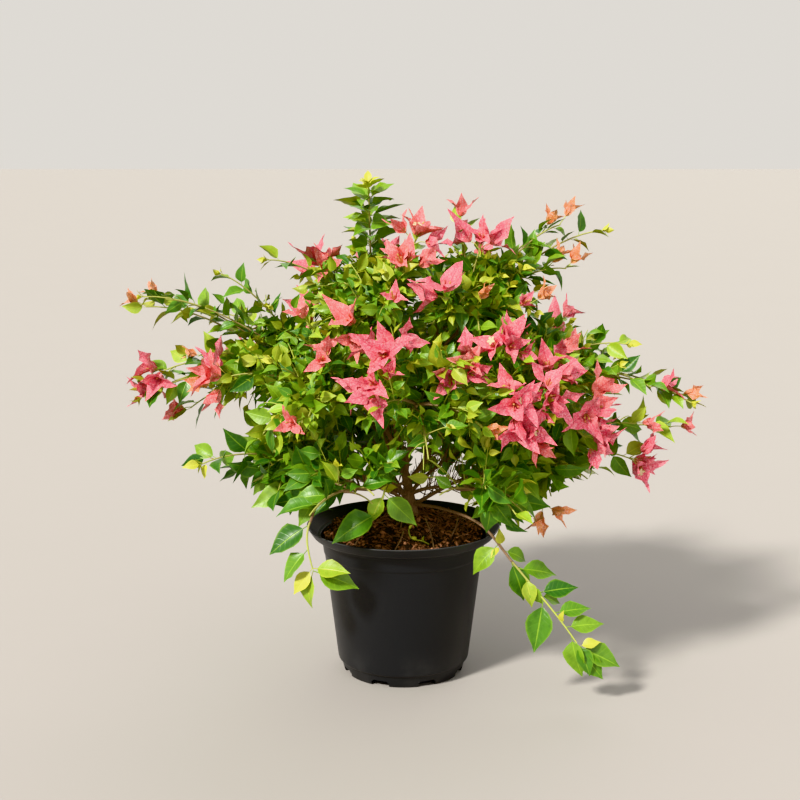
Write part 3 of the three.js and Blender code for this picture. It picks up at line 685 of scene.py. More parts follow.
    def leaves_along(self, mass, path, start, size, draw, tip_kind, leader=False):
        """Leaves in turn along a twig, small and young towards its tip, and one at its end.

        tip_kind is the finish of the youngest."""
        step = LEADER_STEP if leader else self.sizes.leaf_step
        hangs = mass.hangs_to is not None
        turn, distance, spray = 360 * draw(), start, draw()
        last = False
        while distance < path.length + 0.5 * step and not last:
            last = distance >= path.length - 0.5 * step
            distance = min(distance, path.length)
            root = path.at(distance)
            turn += GOLDEN + 14 * (draw() - 0.5)
            lean = 14 if last else self.sizes.lean + 26 * (draw() - 0.5) + (14 if leader else 0)
            heading = leaned(path.heading(distance), math.radians(turn), math.radians(lean))
            heading = unit(heading + UP * (0.16 if heading[2] < 0 else 0.0) + mass.out * 0.12)
            wobble = np.array([draw(), draw(), draw()]) - 0.5
            face = UP * 0.5 + unit(root - BODY_MIDDLE) * 0.35 + LIGHT_SIDE * 0.4 + wobble * 2.0
            near_tip = 1 - past(path.length, distance, 26)
            single = past(self.out_of_body(root), 0.95, 0.2)
            blade = self.grown_leaf(root) * size * mix(1.0, 0.7, near_tip) * mix(1.0, 1.15, single)
            blade *= mix(0.74, 1.16, draw())
            choice = draw()
            bare = 0.0 if hangs else self.bare_share(root)
            reach = heading * blade
            room = self.open_air(root + reach, 4, hangs) and self.open_air(root + reach * 0.5, 2, hangs)
            if room and draw() >= bare:
                kind = self.leaf_kind(root, near_tip, spray, choice, tip_kind)
                self.leaves[kind].append((root, heading, face, blade * (0.66 if kind == "young" else 1.0)))
            distance += step * mix(0.75, 1.3, draw()) * (1.0 if leader else mix(1.0, 1.55, single))

    def grown_leaf(self, root):
        """The length of a grown leaf: long low down and at the sides, short high up and over the trunk."""
        low = 1 - past(root[2], 235, 130)
        off = abs(root[0] - 8) if root[1] < 0 else math.hypot(root[0], root[1])
        return mix(self.sizes.high_leaf, self.sizes.low_leaf, low * mix(0.25, 1.0, past(off, 50, 90)))

    def bare_share(self, root):
        """The share of leaves that the shade has cost, in the heart of the crown and round the trunk."""
        shade_loss = 0.75 * past(0.55, self.out_of_body(root), 0.3)
        over_trunk = math.exp(-(((root[0] - 26) / 44) ** 2)) if root[1] < 40 else 0.0
        arch = LOWER_FACE.middle + 58 * over_trunk - LOWER_FACE.slope * min(0.0, root[1])
        return max(shade_loss, 0.8 * past(arch + 12, root[2], 24) * over_trunk)

    def leaf_kind(self, root, near_tip, spray, choice, tip_kind):
        """The age of a leaf: young at the tips, and deeper green inside, low down and to the left, which
        stands partly for older leaves and partly for painted shade.
        """
        # Painted shade: low down on the left, leaves near the tips of fresh shoots don't take the paler tip
        # colour.
        if root[0] < 30 and root[2] < 296 and tip_kind == "fresh":
            near_tip = 0.0
        if near_tip > 0.6 and (choice < 0.4 or tip_kind == "young"):
            return tip_kind
        if near_tip > 0.25 and choice < 0.25:
            return "fresh"
        # More deep green leaves inside the dense body and low down, most on the left: partly older leaves,
        # partly painted shade.
        deep = mix(0.90, 0.36, min(self.out_of_body(root), 1.0)) + (0.18 if spray < 0.4 else -0.10)
        deep += (0.30 if root[0] < 0 else 0.08) * past(320, root[2], 60)
        if choice < deep:
            return "deep"
        return "mid" if choice < deep + (0.46 if spray < 0.7 else 0.30) else "fresh"

    def add_cluster(self, path, threes, finish, draw):
        """Threes of bracts round the end of a shoot, each on its own short stalk, with flowers inside."""
        end, along = path.at(path.length), path.heading(path.length)
        out = unit((end - CROWN_MIDDLE - UP * 330) * np.array([1.0, 1.0, 0.9]))
        axis = unit(out * 1.0 + along * 0.5 + UP * mix(0.3, 0.9, past(end[2], 400, 120)))
        start = 360 * draw()
        opens = math.dist(end, OPEN_FLOWER) < 25
        if threes > 2:
            threes += 1
        for i in range(threes):
            spread = 0.0 if threes == 1 else math.radians(mix(8, 72, i / (threes - 1)))
            way = unit(leaned(axis, math.radians(start + GOLDEN * i), spread))
            centre = end + way * (mix(7, 13, draw()) + 5 * (i > 1))
            stalk = Path([end - along * 2, mix(end, centre, 0.5) + UP * 0.8, centre])
            self.twigs.append((stalk, *CLUSTER_STALK))
            self.add_three(centre, way, finish, opens and i == 0, threes == 1, draw)

    def add_three(self, centre, axis, finish, opens, alone, draw):
        """Three bracts round an axis. Those that have opened hold three flowers."""
        opening = finish == "peach"
        start = 360 * draw()
        blade = (self.sizes.bud_bract if opening and alone else self.sizes.bract) * mix(0.72, 1.14, draw())
        blade *= 0.82 if alone and not opening else 1.0
        tone = "pink" if finish == "coral" and draw() < 0.3 else finish
        for i in range(3):
            turn = math.radians(start + 120 * i + 16 * (draw() - 0.5))
            lean = math.radians(mix(*((14, 34) if opening else (20, 56)), draw()))
            face = axis - spun(axis, turn) * 0.4
            heading = unit(leaned(axis, turn, lean))
            self.bracts[tone].append((centre, heading, face, blade * mix(0.9, 1.08, draw())))
        if opening:
            return
        for i in range(3):
            radial = spun(axis, math.radians(start + 60 + 120 * i))
            kind = "stars" if draw() < 0.02 or (opens and i == 0) else "tubes"
            heading = unit(axis + radial * 0.16)
            self.flowers[kind].append((centre + radial * 1.2, heading, radial, 14 * mix(0.8, 1.1, draw())))


@functools.cache
def crown_of(numbers):
    return Crown(Named(**dict(numbers)))


def grown_crown(context):
    """The crown in millimetres and degrees, grown once for each set of sizes."""
    leaf = context.scene.bush_leaf
    numbers = {name: getattr(leaf, name) / MM for name in type(leaf).__annotations__}
    numbers["lean"] = math.degrees(leaf.lean)
    return crown_of(tuple(numbers.items()))


# Materials.


class Wire:
    """One output of a node. Python's operators on it add Math nodes."""

    def __init__(self, board, socket):
        self.board = board
        self.socket = socket

    def work(self, operation, *terms):
        """A Math node that works on one term or two."""
        return self.board.node("ShaderNodeMath", {"operation": operation}, dict(enumerate(terms)))

    def __add__(self, other):
        return self.work("ADD", self, other)

    def __sub__(self, other):
        return self.work("SUBTRACT", self, other)

    def __rsub__(self, other):
        return self.work("SUBTRACT", other, self)

    def __mul__(self, other):
        return self.work("MULTIPLY", self, other)

    def __pow__(self, other):
        return self.work("POWER", self, other)

    def __abs__(self):
        return self.work("ABSOLUTE", self)

    __radd__ = __add__


class Board:
    """A node tree, with one way to add a node, set it and wire it."""

    def __init__(self, tree):
        self.tree = tree

    def link(self, value, socket):
        if isinstance(value, Wire):
            self.tree.links.new(value.socket, socket)
        elif socket.type == "RGBA" and len(value) == 3:
            socket.default_value = (*value, 1.0)
        else:
            socket.default_value = value

    def node(self, kind, settings=None, inputs=None, output=0):
        made = self.tree.nodes.new(kind)
        for name, value in (settings or {}).items():
            setattr(made, name, value)
        for name, value in (inputs or {}).items():
            self.link(value, made.inputs[name])
        return Wire(self, made.outputs[output])


class Skin(Board):
    """One new material, with the few kinds of node that the skins are built from."""

    def __init__(self, name):
        self.material = bpy.data.materials.new(name)
        self.material.use_nodes = True
        super().__init__(self.material.node_tree)

    def place(self):
        return self.node("ShaderNodeTexCoord", output="Object")

    def noise(self, scale, detail=3.0, roughness=0.55, vector=None):
        inputs = {"Vector": vector or self.place(), "Scale": scale, "Detail": detail, "Roughness": roughness}
        return self.node("ShaderNodeTexNoise", {}, inputs)

    def attribute(self, name):
        return self.node("ShaderNodeAttribute", {"attribute_name": name}, output="Fac")

    def ramp(self, value, low, high):
        """value, stretched so that low gives 0 and high gives 1."""
        inputs = {"Value": value, "From Min": low, "From Max": high}
        return self.node("ShaderNodeMapRange", {"interpolation_type": "SMOOTHSTEP"}, inputs)

    def spots(self, scale, detail, low, high, roughness=0.55):
        return self.ramp(self.noise(scale, detail, roughness), low, high)

    def blend(self, amount, first, second):
        """Two colours mixed by amount."""
        return self.node("ShaderNodeMix", {"data_type": "RGBA"}, {0: amount, 6: first, 7: second}, 2)

    def finish(self, tint, roughness, height, strength, depth):
        """Sets the shader's inputs. height is the relief, of which depth is the most, in metres."""
        inputs = {"Height": height, "Strength": strength, "Distance": depth}
        relief = self.node("ShaderNodeBump", {}, inputs)
        for name, value in (("Base Color", tint), ("Roughness", roughness), ("Normal", relief)):
            self.link(value, self.tree.nodes["Principled BSDF"].inputs[name])
        return self.material


def shade(rgb, factor):
    return tuple(min(1.0, channel * factor) for channel in rgb)


def plastic_of_pot(rgb):
    """Black plastic with a fine moulded grain, a bloom of dust near the foot, faint scuffs, and painted
    highlights along the crest of the rim and the lower edge of its band.
    """
    skin = Skin("pot_plastic")
    height = skin.node("ShaderNodeSeparateXYZ", {}, {0: skin.place()}, "Z")
    cloud = skin.noise(14.0, 4.0)
    dust = skin.ramp(height, 0.055, 0.0) * skin.ramp(cloud, 0.42, 0.75) * 0.5
    scuff = skin.spots(160.0, 5.0, 0.66, 0.78, 0.7) * 0.35
    # Painted highlight: a lighter line along the crest of the rim.
    crest = skin.ramp(height, 0.1852, 0.187) * 0.75
    # Painted highlight: a lighter line along the lower edge of the rim band.
    band_edge_highlight = skin.ramp(abs(height - 0.1752), 0.0013, 0.0004) * 0.35
    tint = skin.blend(dust + scuff * 0.4 + crest + band_edge_highlight, rgb, (0.085, 0.086, 0.088))
    grain = skin.noise(1500.0, 2.0)
    return skin.finish(tint, 0.38 + cloud * 0.10 + dust * 0.3 + scuff * 0.15, grain, 0.16, 0.0004)


def mix_of_soil(rgb, chip):
    """Wet dark mix with paler clods and pale specks."""
    skin = Skin("soil_mix")
    coarse = skin.spots(70.0, 4.0, 0.50, 0.68)
    fine = skin.noise(420.0, 4.0, 0.7)
    tint = skin.blend(coarse * 0.30, rgb, chip)
    tint = skin.blend(skin.ramp(fine, 0.66, 0.74) * 0.5, tint, (0.26, 0.16, 0.09))
    return skin.finish(tint, 0.93, fine, 0.8, 0.0016)


def skin_of_chips(name, dark, light, rare=1.0):
    """Two tones dealt by the crumb's own number. A rare above 1 makes the light ones fewer."""
    skin = Skin(name)
    tint = skin.blend(skin.attribute("tone") ** rare, dark, light)
    grain = skin.noise(900.0, 3.0)
    tint = skin.blend(grain * 0.35, tint, shade(dark, 0.5))
    return skin.finish(tint, 0.9, grain, 0.6, 0.0006)


def bark_of_wood(rgb):
    """Tan bark: dark furrows along the limb, and pale flakes."""
    skin = Skin("bark")
    along = skin.node("ShaderNodeUVMap", {"uv_map": "UVMap"})
    stretched = skin.node("ShaderNodeMapping", {}, {"Vector": along, "Scale": (26.0, 5.0, 1.0)})
    furrow = skin.noise(3.2, 6.0, 0.65, stretched)
    fleck = skin.noise(520.0, 3.0)
    tint = skin.blend(skin.ramp(furrow, 0.38, 0.62), shade(rgb, 0.36), rgb)
    tint = skin.blend(skin.ramp(fleck, 0.6, 0.72) * 0.5, tint, shade(rgb, 1.7))
    return skin.finish(tint, 0.82, furrow, 0.7, 0.0009)


def skin_of_twigs(brown, green):
    """Brown or green by the twig's own share of green, with darker flecks."""
    skin = Skin("twig_skin")
    fleck = skin.noise(700.0, 3.0)
    tint = skin.blend(skin.ramp(skin.attribute("green"), 0.25, 0.8), brown, green)
    tint = skin.blend(skin.ramp(fleck, 0.55, 0.75) * 0.4, tint, shade(brown, 0.55))
    return skin.finish(tint, 0.62, fleck, 0.35, 0.0004)


def veins(skin, count, slope):
    """From 0 to 1 on the midrib and on the side veins of a blade, read from its own UV map."""
    uv = skin.node("ShaderNodeUVMap", {"uv_map": "UVMap"})
    across = skin.node("ShaderNodeSeparateXYZ", {}, {0: uv}, "X")
    along = skin.node("ShaderNodeSeparateXYZ", {}, {0: uv}, "Y")
    off_rib = abs(across - 0.5) * 2.0
    rib = skin.ramp(off_rib, 0.085, 0.02)
    phase = (along - off_rib * slope) * (count * math.tau)
    side = skin.ramp(phase.work("SINE", phase), 0.72, 1.0) * skin.ramp(off_rib, 0.98, 0.7)
    return rib, side, off_rib, along


def skin_of_leaves(name, rgb, light, edge, roughness):
    """A glossy leaf: two tones dealt by the blade's own number, pale veins, and a paler margin."""
    skin = Skin(name)
    rib, side, off_rib, _ = veins(skin, 7.0, 0.16)
    tint = skin.blend(skin.attribute("tone"), rgb, light)
    cloud = skin.noise(120.0, 2.0)
    tint = skin.blend(skin.ramp(cloud, 0.4, 0.7) * 0.35, tint, shade(rgb, 0.62))
    tint = skin.blend(skin.ramp(off_rib, 0.78, 1.0) * 0.45, tint, edge)
    tint = skin.blend(side * 0.28, tint, light)
    tint = skin.blend(rib * 0.75, tint, edge)
    skin.tree.nodes["Principled BSDF"].inputs["Specular IOR Level"].default_value = 0.44
    height = 1.0 - rib * 0.9 - side * 0.5
    return skin.finish(tint, roughness + cloud * 0.12, height, 0.32, 0.0007)


def paper_of_bracts(name, rgb, dark, base):
    """A papery bract: a net of darker veins, a golden foot, and a tone of its own."""
    skin = Skin(name)
    rib, side, _, along = veins(skin, 6.0, 0.30)
    pale = mix(np.array(rgb), np.array((1.0, 0.82, 0.84)), 0.52)
    tint = skin.blend(skin.attribute("tone") * 0.40, rgb, dark)
    tint = skin.blend(skin.ramp(along, 0.30, 0.0) * 0.55, tint, base)
    tint = skin.blend(skin.spots(60.0, 2.0, 0.5, 0.72) * 0.35, tint, base)
    tint = skin.blend(skin.spots(430.0, 3.0, 0.46, 0.58, 0.6) * 0.75, tint, tuple(pale))
    cells = {"Vector": skin.place(), "Scale": 400.0}
    net = skin.node("ShaderNodeTexVoronoi", {"feature": "DISTANCE_TO_EDGE"}, cells)
    tint = skin.blend(skin.ramp(net, 0.16, 0.0) * 0.70, tint, dark)
    tint = skin.blend(side * 0.40, tint, dark)
    tint = skin.blend(rib * 0.70, tint, dark)
    return skin.finish(tint, 0.6, rib + side * 0.6, 0.35, 0.0006)


def plain_of_stage(rgb):
    """A matt floor with a faint cloud in its tone."""
    skin = Skin("stage_floor")
    tint = skin.blend(skin.noise(3.0, 3.0) * 0.2, rgb, shade(rgb, 0.9))
    shader = skin.tree.nodes["Principled BSDF"].inputs
    skin.link(tint, shader["Base Color"])
    skin.link(0.85, shader["Roughness"])
    return skin.material


# Meshes and node trees.


def placed_object(name, data):
    made = bpy.data.objects.new(name, data)
    bpy.context.scene.collection.objects.link(made)
    return made


def new_object(name, vertices, faces, uv=None):
    """A mesh object in metres, with smooth faces and, where uv gives one per vertex, a UV map."""
    mesh = bpy.data.meshes.new(name)
    mesh.from_pydata([tuple(v) for v in vertices], [], [tuple(f) for f in faces])
    mesh.shade_smooth()
    if uv is not None:
        layer = mesh.uv_layers.new(name="UVMap")
        loops = np.zeros(len(mesh.loops), np.int32)
        mesh.loops.foreach_get("vertex_index", loops)
        layer.data.foreach_set("uv", np.asarray(uv, np.float32)[loops].ravel())
    return placed_object(name, mesh)


def plain_mesh(maker):
    """maker's evaluated result as a plain mesh object of the same name. maker itself is deleted."""
    depsgraph = bpy.context.evaluated_depsgraph_get()
    mesh = bpy.data.meshes.new_from_object(maker.evaluated_get(depsgraph), depsgraph=depsgraph)
    name = maker.name
    bpy.data.objects.remove(maker)
    mesh.name = name
    return placed_object(name, mesh)


def mark(mesh, label, values, kind="FLOAT", key="value"):
    """Gives each point of a mesh its value of an attribute."""
    layer = mesh.attributes.new(label, kind, "POINT")
    layer.data.foreach_set(key, np.asarray(values, np.float32).ravel())


def seat(piece, slot, *nodes):
    """The piece rides with the part and stands for CAD nodes, which it hides. slot is not used."""
    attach(piece, "root")
    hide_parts(*nodes)


def dress(piece, material):
    piece.data.materials.clear()
    piece.data.materials.append(material)


def nodes_named(start):
    return [name for name in frame["nodes"] if name.startswith(start)]


def paints(context):
    """The colours of the sidebar as plain tuples."""
    group = context.scene.bush_colours
    return Named(**{name: tuple(getattr(group, name)) for name in type(group).__annotations__})


class Tree(Board):
    """A Geometry Nodes tree with named inputs."""

    def __init__(self, name):
        super().__init__(bpy.data.node_groups.new(name, "GeometryNodeTree"))
        for side in ("INPUT", "OUTPUT"):
            self.tree.interface.new_socket("Geometry", in_out=side, socket_type="NodeSocketGeometry")
        self.entry = self.tree.nodes.new("NodeGroupInput")
        self.exit = self.tree.nodes.new("NodeGroupOutput")
        self.names = {}

    def start(self):
        return Wire(self, self.entry.outputs["Geometry"])

    def ask(self, name, kind):
        socket = self.tree.interface.new_socket(name, in_out="INPUT", socket_type=f"NodeSocket{kind}")
        self.names[name] = socket.identifier
        return Wire(self, self.entry.outputs[name])

    def read(self, name, kind="FLOAT"):
        return self.node("GeometryNodeInputNamedAttribute", {"data_type": kind}, {"Name": name})

    def random(self, low, high, seed):
        inputs = {2: low, 3: high, "Seed": seed}
        return self.node("FunctionNodeRandomValue", {"data_type": "FLOAT"}, inputs, 1)

    def scatter(self, points, shapes, seed, how):
        """Sets shapes from a collection on points, each with a number of its own for its tone.

        how holds the size and the turn of each."""
        inputs = {"Collection": shapes, "Separate Children": True, "Reset Children": True}
        shelf = self.node("GeometryNodeCollectionInfo", {}, inputs)
        inputs = {"Points": points, "Instance": shelf, "Pick Instance": True, **how}
        placed = self.node("GeometryNodeInstanceOnPoints", {}, inputs)
        settings = {"data_type": "FLOAT", "domain": "INSTANCE"}
        inputs = {"Geometry": placed, "Name": "tone", "Value": self.random(0.0, 1.0, seed)}
        return self.node("GeometryNodeStoreNamedAttribute", settings, inputs)

    def close(self, geometry):
        real = self.node("GeometryNodeRealizeInstances", {}, {"Geometry": geometry})
        inputs = {"Geometry": real, "Material": self.ask("Material", "Material")}
        self.link(self.node("GeometryNodeSetMaterial", {}, inputs), self.exit.inputs[0])
        return self

    def run(self, maker, **values):
        """Puts the tree on maker, sets its named inputs and returns the plain mesh that it makes."""
        modifier = maker.modifiers.new(self.tree.name, "NODES")
        modifier.node_group = self.tree
        for name, value in values.items():
            modifier[self.names[name]] = value
        maker.update_tag()
        bpy.context.view_layer.update()
        return plain_mesh(maker)


@functools.cache
def blade_tree():
    """Blades on points: each point holds the blade's heading, the side its face looks to, and its length."""
    tree = Tree("blades_on_twigs")
    shapes, kinds, seed = tree.ask("Shapes", "Collection"), tree.ask("Kinds", "Int"), tree.ask("Seed", "Int")
    heading, face = (tree.read(name, "FLOAT_VECTOR") for name in ("heading", "face"))
    inputs = {"Primary Axis": heading, "Secondary Axis": face}
    turn = tree.node("FunctionNodeAxesToRotation", {"primary_axis": "Y", "secondary_axis": "Z"}, inputs)
    picks = {4: 0, 5: kinds - 1.0, "Seed": seed}
    pick = tree.node("FunctionNodeRandomValue", {"data_type": "INT"}, picks, 2)
    how = {"Instance Index": pick, "Rotation": turn, "Scale": tree.read("size")}
    return tree.close(tree.scatter(tree.start(), shapes, seed, how))


@functools.cache
def twig_tree():
    """Round twigs along edges: each point holds the twig's radius there."""
    tree = Tree("twigs_on_lines")
    curve = tree.node("GeometryNodeMeshToCurve", {}, {"Mesh": tree.start()})
    inputs = {"Resolution": TWIG_SIDES, "Radius": 1.0}
    ring = tree.node("GeometryNodeCurvePrimitiveCircle", {"mode": "RADIUS"}, inputs)
    inputs = {"Curve": curve, "Profile Curve": ring, "Scale": tree.read("radius"), "Fill Caps": True}
    return tree.close(tree.node("GeometryNodeCurveToMesh", {}, inputs))


@functools.cache
def crumb_tree():
    """Crumbs strewn on a surface, each turned at random."""
    tree = Tree("crumbs_on_soil")
    shapes, seed = tree.ask("Shapes", "Collection"), tree.ask("Seed", "Int")
    density, smallest = tree.ask("Density", "Float"), tree.ask("Smallest", "Float")
    inputs = {"Mesh": tree.start(), "Density": density, "Seed": seed, "Selection": tree.read("strewn")}
    spots = tree.node("GeometryNodeDistributePointsOnFaces", {"distribute_method": "RANDOM"}, inputs)
    inputs = {1: (0.9, 0.9, math.tau), "Seed": seed}
    turn = tree.node("FunctionNodeRandomValue", {"data_type": "FLOAT_VECTOR"}, inputs)
    turned = tree.node("FunctionNodeEulerToRotation", {}, {0: turn})
    how = {"Rotation": turned, "Scale": tree.random(smallest, 1.0, seed)}
    return tree.close(tree.scatter(spots, shapes, seed, how))


class Shelf:
    """A collection of model shapes that a tree draws on. It is emptied once its pieces are made."""

    def __init__(self, name):
        self.name = name
        self.collection = bpy.data.collections.new(f"{name}_shapes")

    def add(self, vertices, faces, uv=None):
        made = new_object(f"{self.name}_shape_{len(self.collection.objects)}", vertices, faces, uv)
        bpy.context.scene.collection.objects.unlink(made)
        self.collection.objects.link(made)

    def clear(self):
        for item in list(self.collection.objects):
            bpy.data.objects.remove(item)
        bpy.data.collections.remove(self.collection)


# Model shapes.


def circle(radius, sides):
    turns = [math.tau * i / sides for i in range(sides)]
    return [(radius * math.cos(turn), radius * math.sin(turn)) for turn in turns]


def ring_quads(first, sides, spans):
    """The faces between rings of points. The first ring starts at the point with the number first."""
    faces = []
    for a in range(first, first + spans * sides, sides):
        b = a + sides
        faces += [(a + i, a + (i + 1) % sides, b + (i + 1) % sides, b + i) for i in range(sides)]
    return faces


def capped_rings(sides, spans):
    """The faces between rings of points, with a cap on the first ring and on the last."""
    last = spans * sides
    return [*ring_quads(0, sides, spans), tuple(range(sides))[::-1], tuple(range(last, last + sides))]


def blade(outline, columns, stalk, fold, curl, wave, twist, phase):
    """One blade of length 1 along +Y with its face to +Z: a thin stalk, then a folded, curling leaf.

    fold raises its edges, curl bends its tip down, wave ruffles its margin and twist turns it."""
    vertices, uv, rows = [], [], []
    last = len(columns) - 1
    for along, half in outline:
        y = stalk + (1 - stalk) * along
        turn = twist * along
        sag = -curl * along**2.2
        row = []
        for side in columns if half > 0.001 else (0.0,):
            ruffle = math.sin(along * 9 + phase + side) + 0.45 * math.sin(along * 21 + 2 * phase * side)
            x = side * half
            rise = fold * abs(x) * (1 - 0.35 * abs(side)) + wave * abs(side) * half * ruffle
            row.append(len(vertices))
            vertices.append((x * math.cos(turn), y - 0.25 * curl * along**3, sag + rise + x * math.sin(turn)))
            uv.append((0.5 + 0.5 * side, along))
        rows.append(row)
    faces = []
    for low, high in zip(rows, rows[1:]):
        if len(high) == 1:
            faces += [(low[i], low[i + 1], high[0]) for i in range(last)]
        else:
            faces += [(low[i], low[i + 1], high[i + 1], high[i]) for i in range(last)]
    if stalk > 0:
        faces += [(b, a, d, c) for a, b, c, d in ring_quads(len(vertices), 3, 1)]
        for y, drop in ((0.0, 0.0), (stalk + 0.01, 0.002)):
            vertices += [(x, y, z - drop) for x, z in circle(STALK_RADIUS, 3)]
            uv += [(0.5, 0.0)] * 3
    return vertices, faces, uv


def blade_shelf(name, kind):
    shelf = Shelf(name)
    for i, shape in enumerate(kind.shapes):
        shelf.add(*blade(kind.outline, kind.columns, kind.stalk, *shape, kind.phase * i))
    return shelf


def turned_shape(outline, sides):
    """A thin closed body turned round +Y: (distance along, radius) pairs."""
    vertices = [(x, y, -z) for y, radius in outline for x, z in circle(radius, sides)]
    return vertices, capped_rings(sides, len(outline) - 1)


def tube_shelf():
    """The closed flower: a slim tube, waisted and six-sided, of length 1."""
    shelf = Shelf("tube")
    outline = (
        (0.0, 0.03), (0.16, 0.075), (0.34, 0.085), (0.52, 0.055), (0.74, 0.070), (0.92, 0.090), (1.0, 0.045),
    )
    shelf.add(*turned_shape(outline, 6))
    return shelf


def star_shelf():
    """The open flower: five lobes round a small throat at the end of its tube."""
    shelf = Shelf("star")
    vertices, faces = turned_shape(((0.0, 0.03), (0.2, 0.08), (0.6, 0.06), (0.97, 0.09)), 6)
    lobe = (
        (0.08, -0.07, 0.97), (0.08, 0.07, 0.97), (0.26, 0.13, 1.03), (0.40, 0.0, 1.00), (0.26, -0.13, 1.03),
    )
    for i in range(5):
        turn = math.tau * i / 5
        base = len(vertices)
        for along, side, rise in lobe:
            x = along * math.cos(turn) - side * math.sin(turn)
            vertices.append((x, rise, along * math.sin(turn) + side * math.cos(turn)))
        faces.append((base, base + 4, base + 3, base + 2, base + 1))
    shelf.add(vertices, faces)
    return shelf


def lists_of(mesh):
    """The vertices and faces of a bmesh as plain lists. The bmesh is freed."""
    made = [v.co[:] for v in mesh.verts], [[v.index for v in face.verts] for face in mesh.faces]
    mesh.free()
    return made


def chip_shelf(length_m):
    """Four rough chips of bark and crumb, a few faces each."""
    shelf = Shelf("chip")
    for i, sizes in enumerate(((1.0, 0.42, 0.22), (0.7, 0.5, 0.34), (0.45, 0.4, 0.3), (1.15, 0.26, 0.16))):
        mesh = bmesh.new()
        bmesh.ops.create_icosphere(mesh, subdivisions=1, radius=0.5)
        for vertex in mesh.verts:
            jitter = 1 + 0.35 * noise.noise(vertex.co * 4 + Vector((7 * i, 0, 0)))
            vertex.co = Vector([c * size for c, size in zip(vertex.co, sizes)]) * jitter * length_m
        shelf.add(*lists_of(mesh))
    return shelf


def fibre_shelf():
    """Three curved root fibres, three-sided."""
    shelf = Shelf("fibre")
    steps = 5
    for reach, bow, rise in ((0.022, 0.006, 0.004), (0.014, -0.004, 0.006), (0.030, 0.009, 0.003)):
        vertices = []
        for k in range(steps + 1):
            t = k / steps
            centre = (reach * (t - 0.5), bow * math.sin(math.pi * t), rise * math.sin(math.pi * t) - 0.001)
            ring = circle(0.00042 * (1 - 0.5 * t), 3)
            vertices += [(centre[0], centre[1] + y, centre[2] + z) for y, z in ring]
        shelf.add(vertices, capped_rings(3, steps))
    return shelf


# Pieces.


def crown_pieces(start, rows, shelf, skins, seed):
    """One joined piece for each skin. It stands for every mass of foliage.

    rows holds, for each kind, the root, heading, face and length of its blades."""
    for k, (kind, skin) in enumerate(skins.items()):
        roots, headings, faces, sizes = (np.array([row[i] for row in rows[kind]], float) for i in range(4))
        mesh = bpy.data.meshes.new(f"{start}_{kind}")
        mesh.vertices.add(len(roots))
        mesh.vertices.foreach_set("co", (roots * MM).astype(np.float32).ravel())
        mark(mesh, "heading", headings, "FLOAT_VECTOR", "vector")
        mark(mesh, "face", faces, "FLOAT_VECTOR", "vector")
        mark(mesh, "size", sizes * MM)
        values = {"Shapes": shelf.collection, "Kinds": len(shelf.collection.objects), "Seed": seed + k}
        piece = blade_tree().run(placed_object(mesh.name, mesh), Material=skin, **values)
        piece.data.shade_smooth()
        seat(piece, "foliage", *nodes_named("foliage_"))
    shelf.clear()


def turned_wall(outline, sides):
    """A closed body turned round the Z axis, from (radius, height) pairs that start and end on it."""
    vertices = [(0.0, 0.0, outline[0][1])]
    for radius, z in outline[1:-1]:
        vertices += [(x, y, z) for x, y in circle(radius, sides)]
    vertices.append((0.0, 0.0, outline[-1][1]))
    last = len(vertices) - 1 - sides
    faces = [(0, 1 + (i + 1) % sides, 1 + i) for i in range(sides)]
    faces += ring_quads(1, sides, len(outline) - 3)
    faces += [(last + i, last + (i + 1) % sides, last + sides) for i in range(sides)]
    return vertices, faces


def pot_outline(pot):
    """The section of the pot, from the middle of its underside out, up, over the rim and back in."""
    top, base, foot, rim = pot.height, pot.base_radius, pot.foot_height, pot.rim_radius
    band = top - pot.band_height
    flare = rim - pot.band_flare
    wall_top = flare - pot.overhang
    ridge = top - pot.ridge_drop
    inner = base - pot.wall

    def wall(z):
        return mix(pot.foot_radius, wall_top, (z - foot) / (band - foot))

    underside = [(0.0, 0.0), (base - 0.0030, 0.0), (base - 0.0012, 0.0004), (base - 0.0002, 0.0016)]
    foot_band = [
        (base + 0.0028, foot - 0.0012), (base + 0.0034, foot - 0.0002),
        (wall(foot) - 0.0012, foot + 0.0006), (wall(foot) - 0.0002, foot + 0.0018),
    ]
    side = [
        (wall(foot + 0.004), foot + 0.004), (wall(ridge - 0.002) - 0.0010, ridge - 0.0022),
        (wall(ridge) - 0.0009, ridge - 0.0009), (wall(ridge) - 0.0001, ridge - 0.0001),
        (wall(ridge + 0.002), ridge + 0.002),
    ]
    under_rim = [
        (wall_top - 0.0004, band - 0.0022), (wall_top + 0.0004, band - 0.0008),
        (wall_top + 0.0018, band - 0.0001), (flare - 0.0012, band), (flare - 0.0002, band + 0.0009),
    ]
    crest = [
        (rim - 0.0008, top - 0.0022), (rim - 0.0001, top - 0.0010), (rim - 0.0007, top - 0.0002),
        (rim - 0.0015, top), (rim - 0.0024, top - 0.0005), (rim - 0.0030, top - 0.0018),
    ]
    inside = [
        (wall_top + 0.0068, band + 0.0028), (wall_top - 0.0002, band - 0.0052),
        (wall_top - pot.wall, band - 0.0085), (inner + 0.001, 0.006), (inner - 0.002, 0.004), (0.0, 0.004),
    ]
    return underside + foot_band + side + under_rim + crest + inside


def runs_outward(edge):
    start, end = (vertex.co for vertex in edge.verts)
    return abs((start - end).normalized().dot(start.normalized())) > 0.9


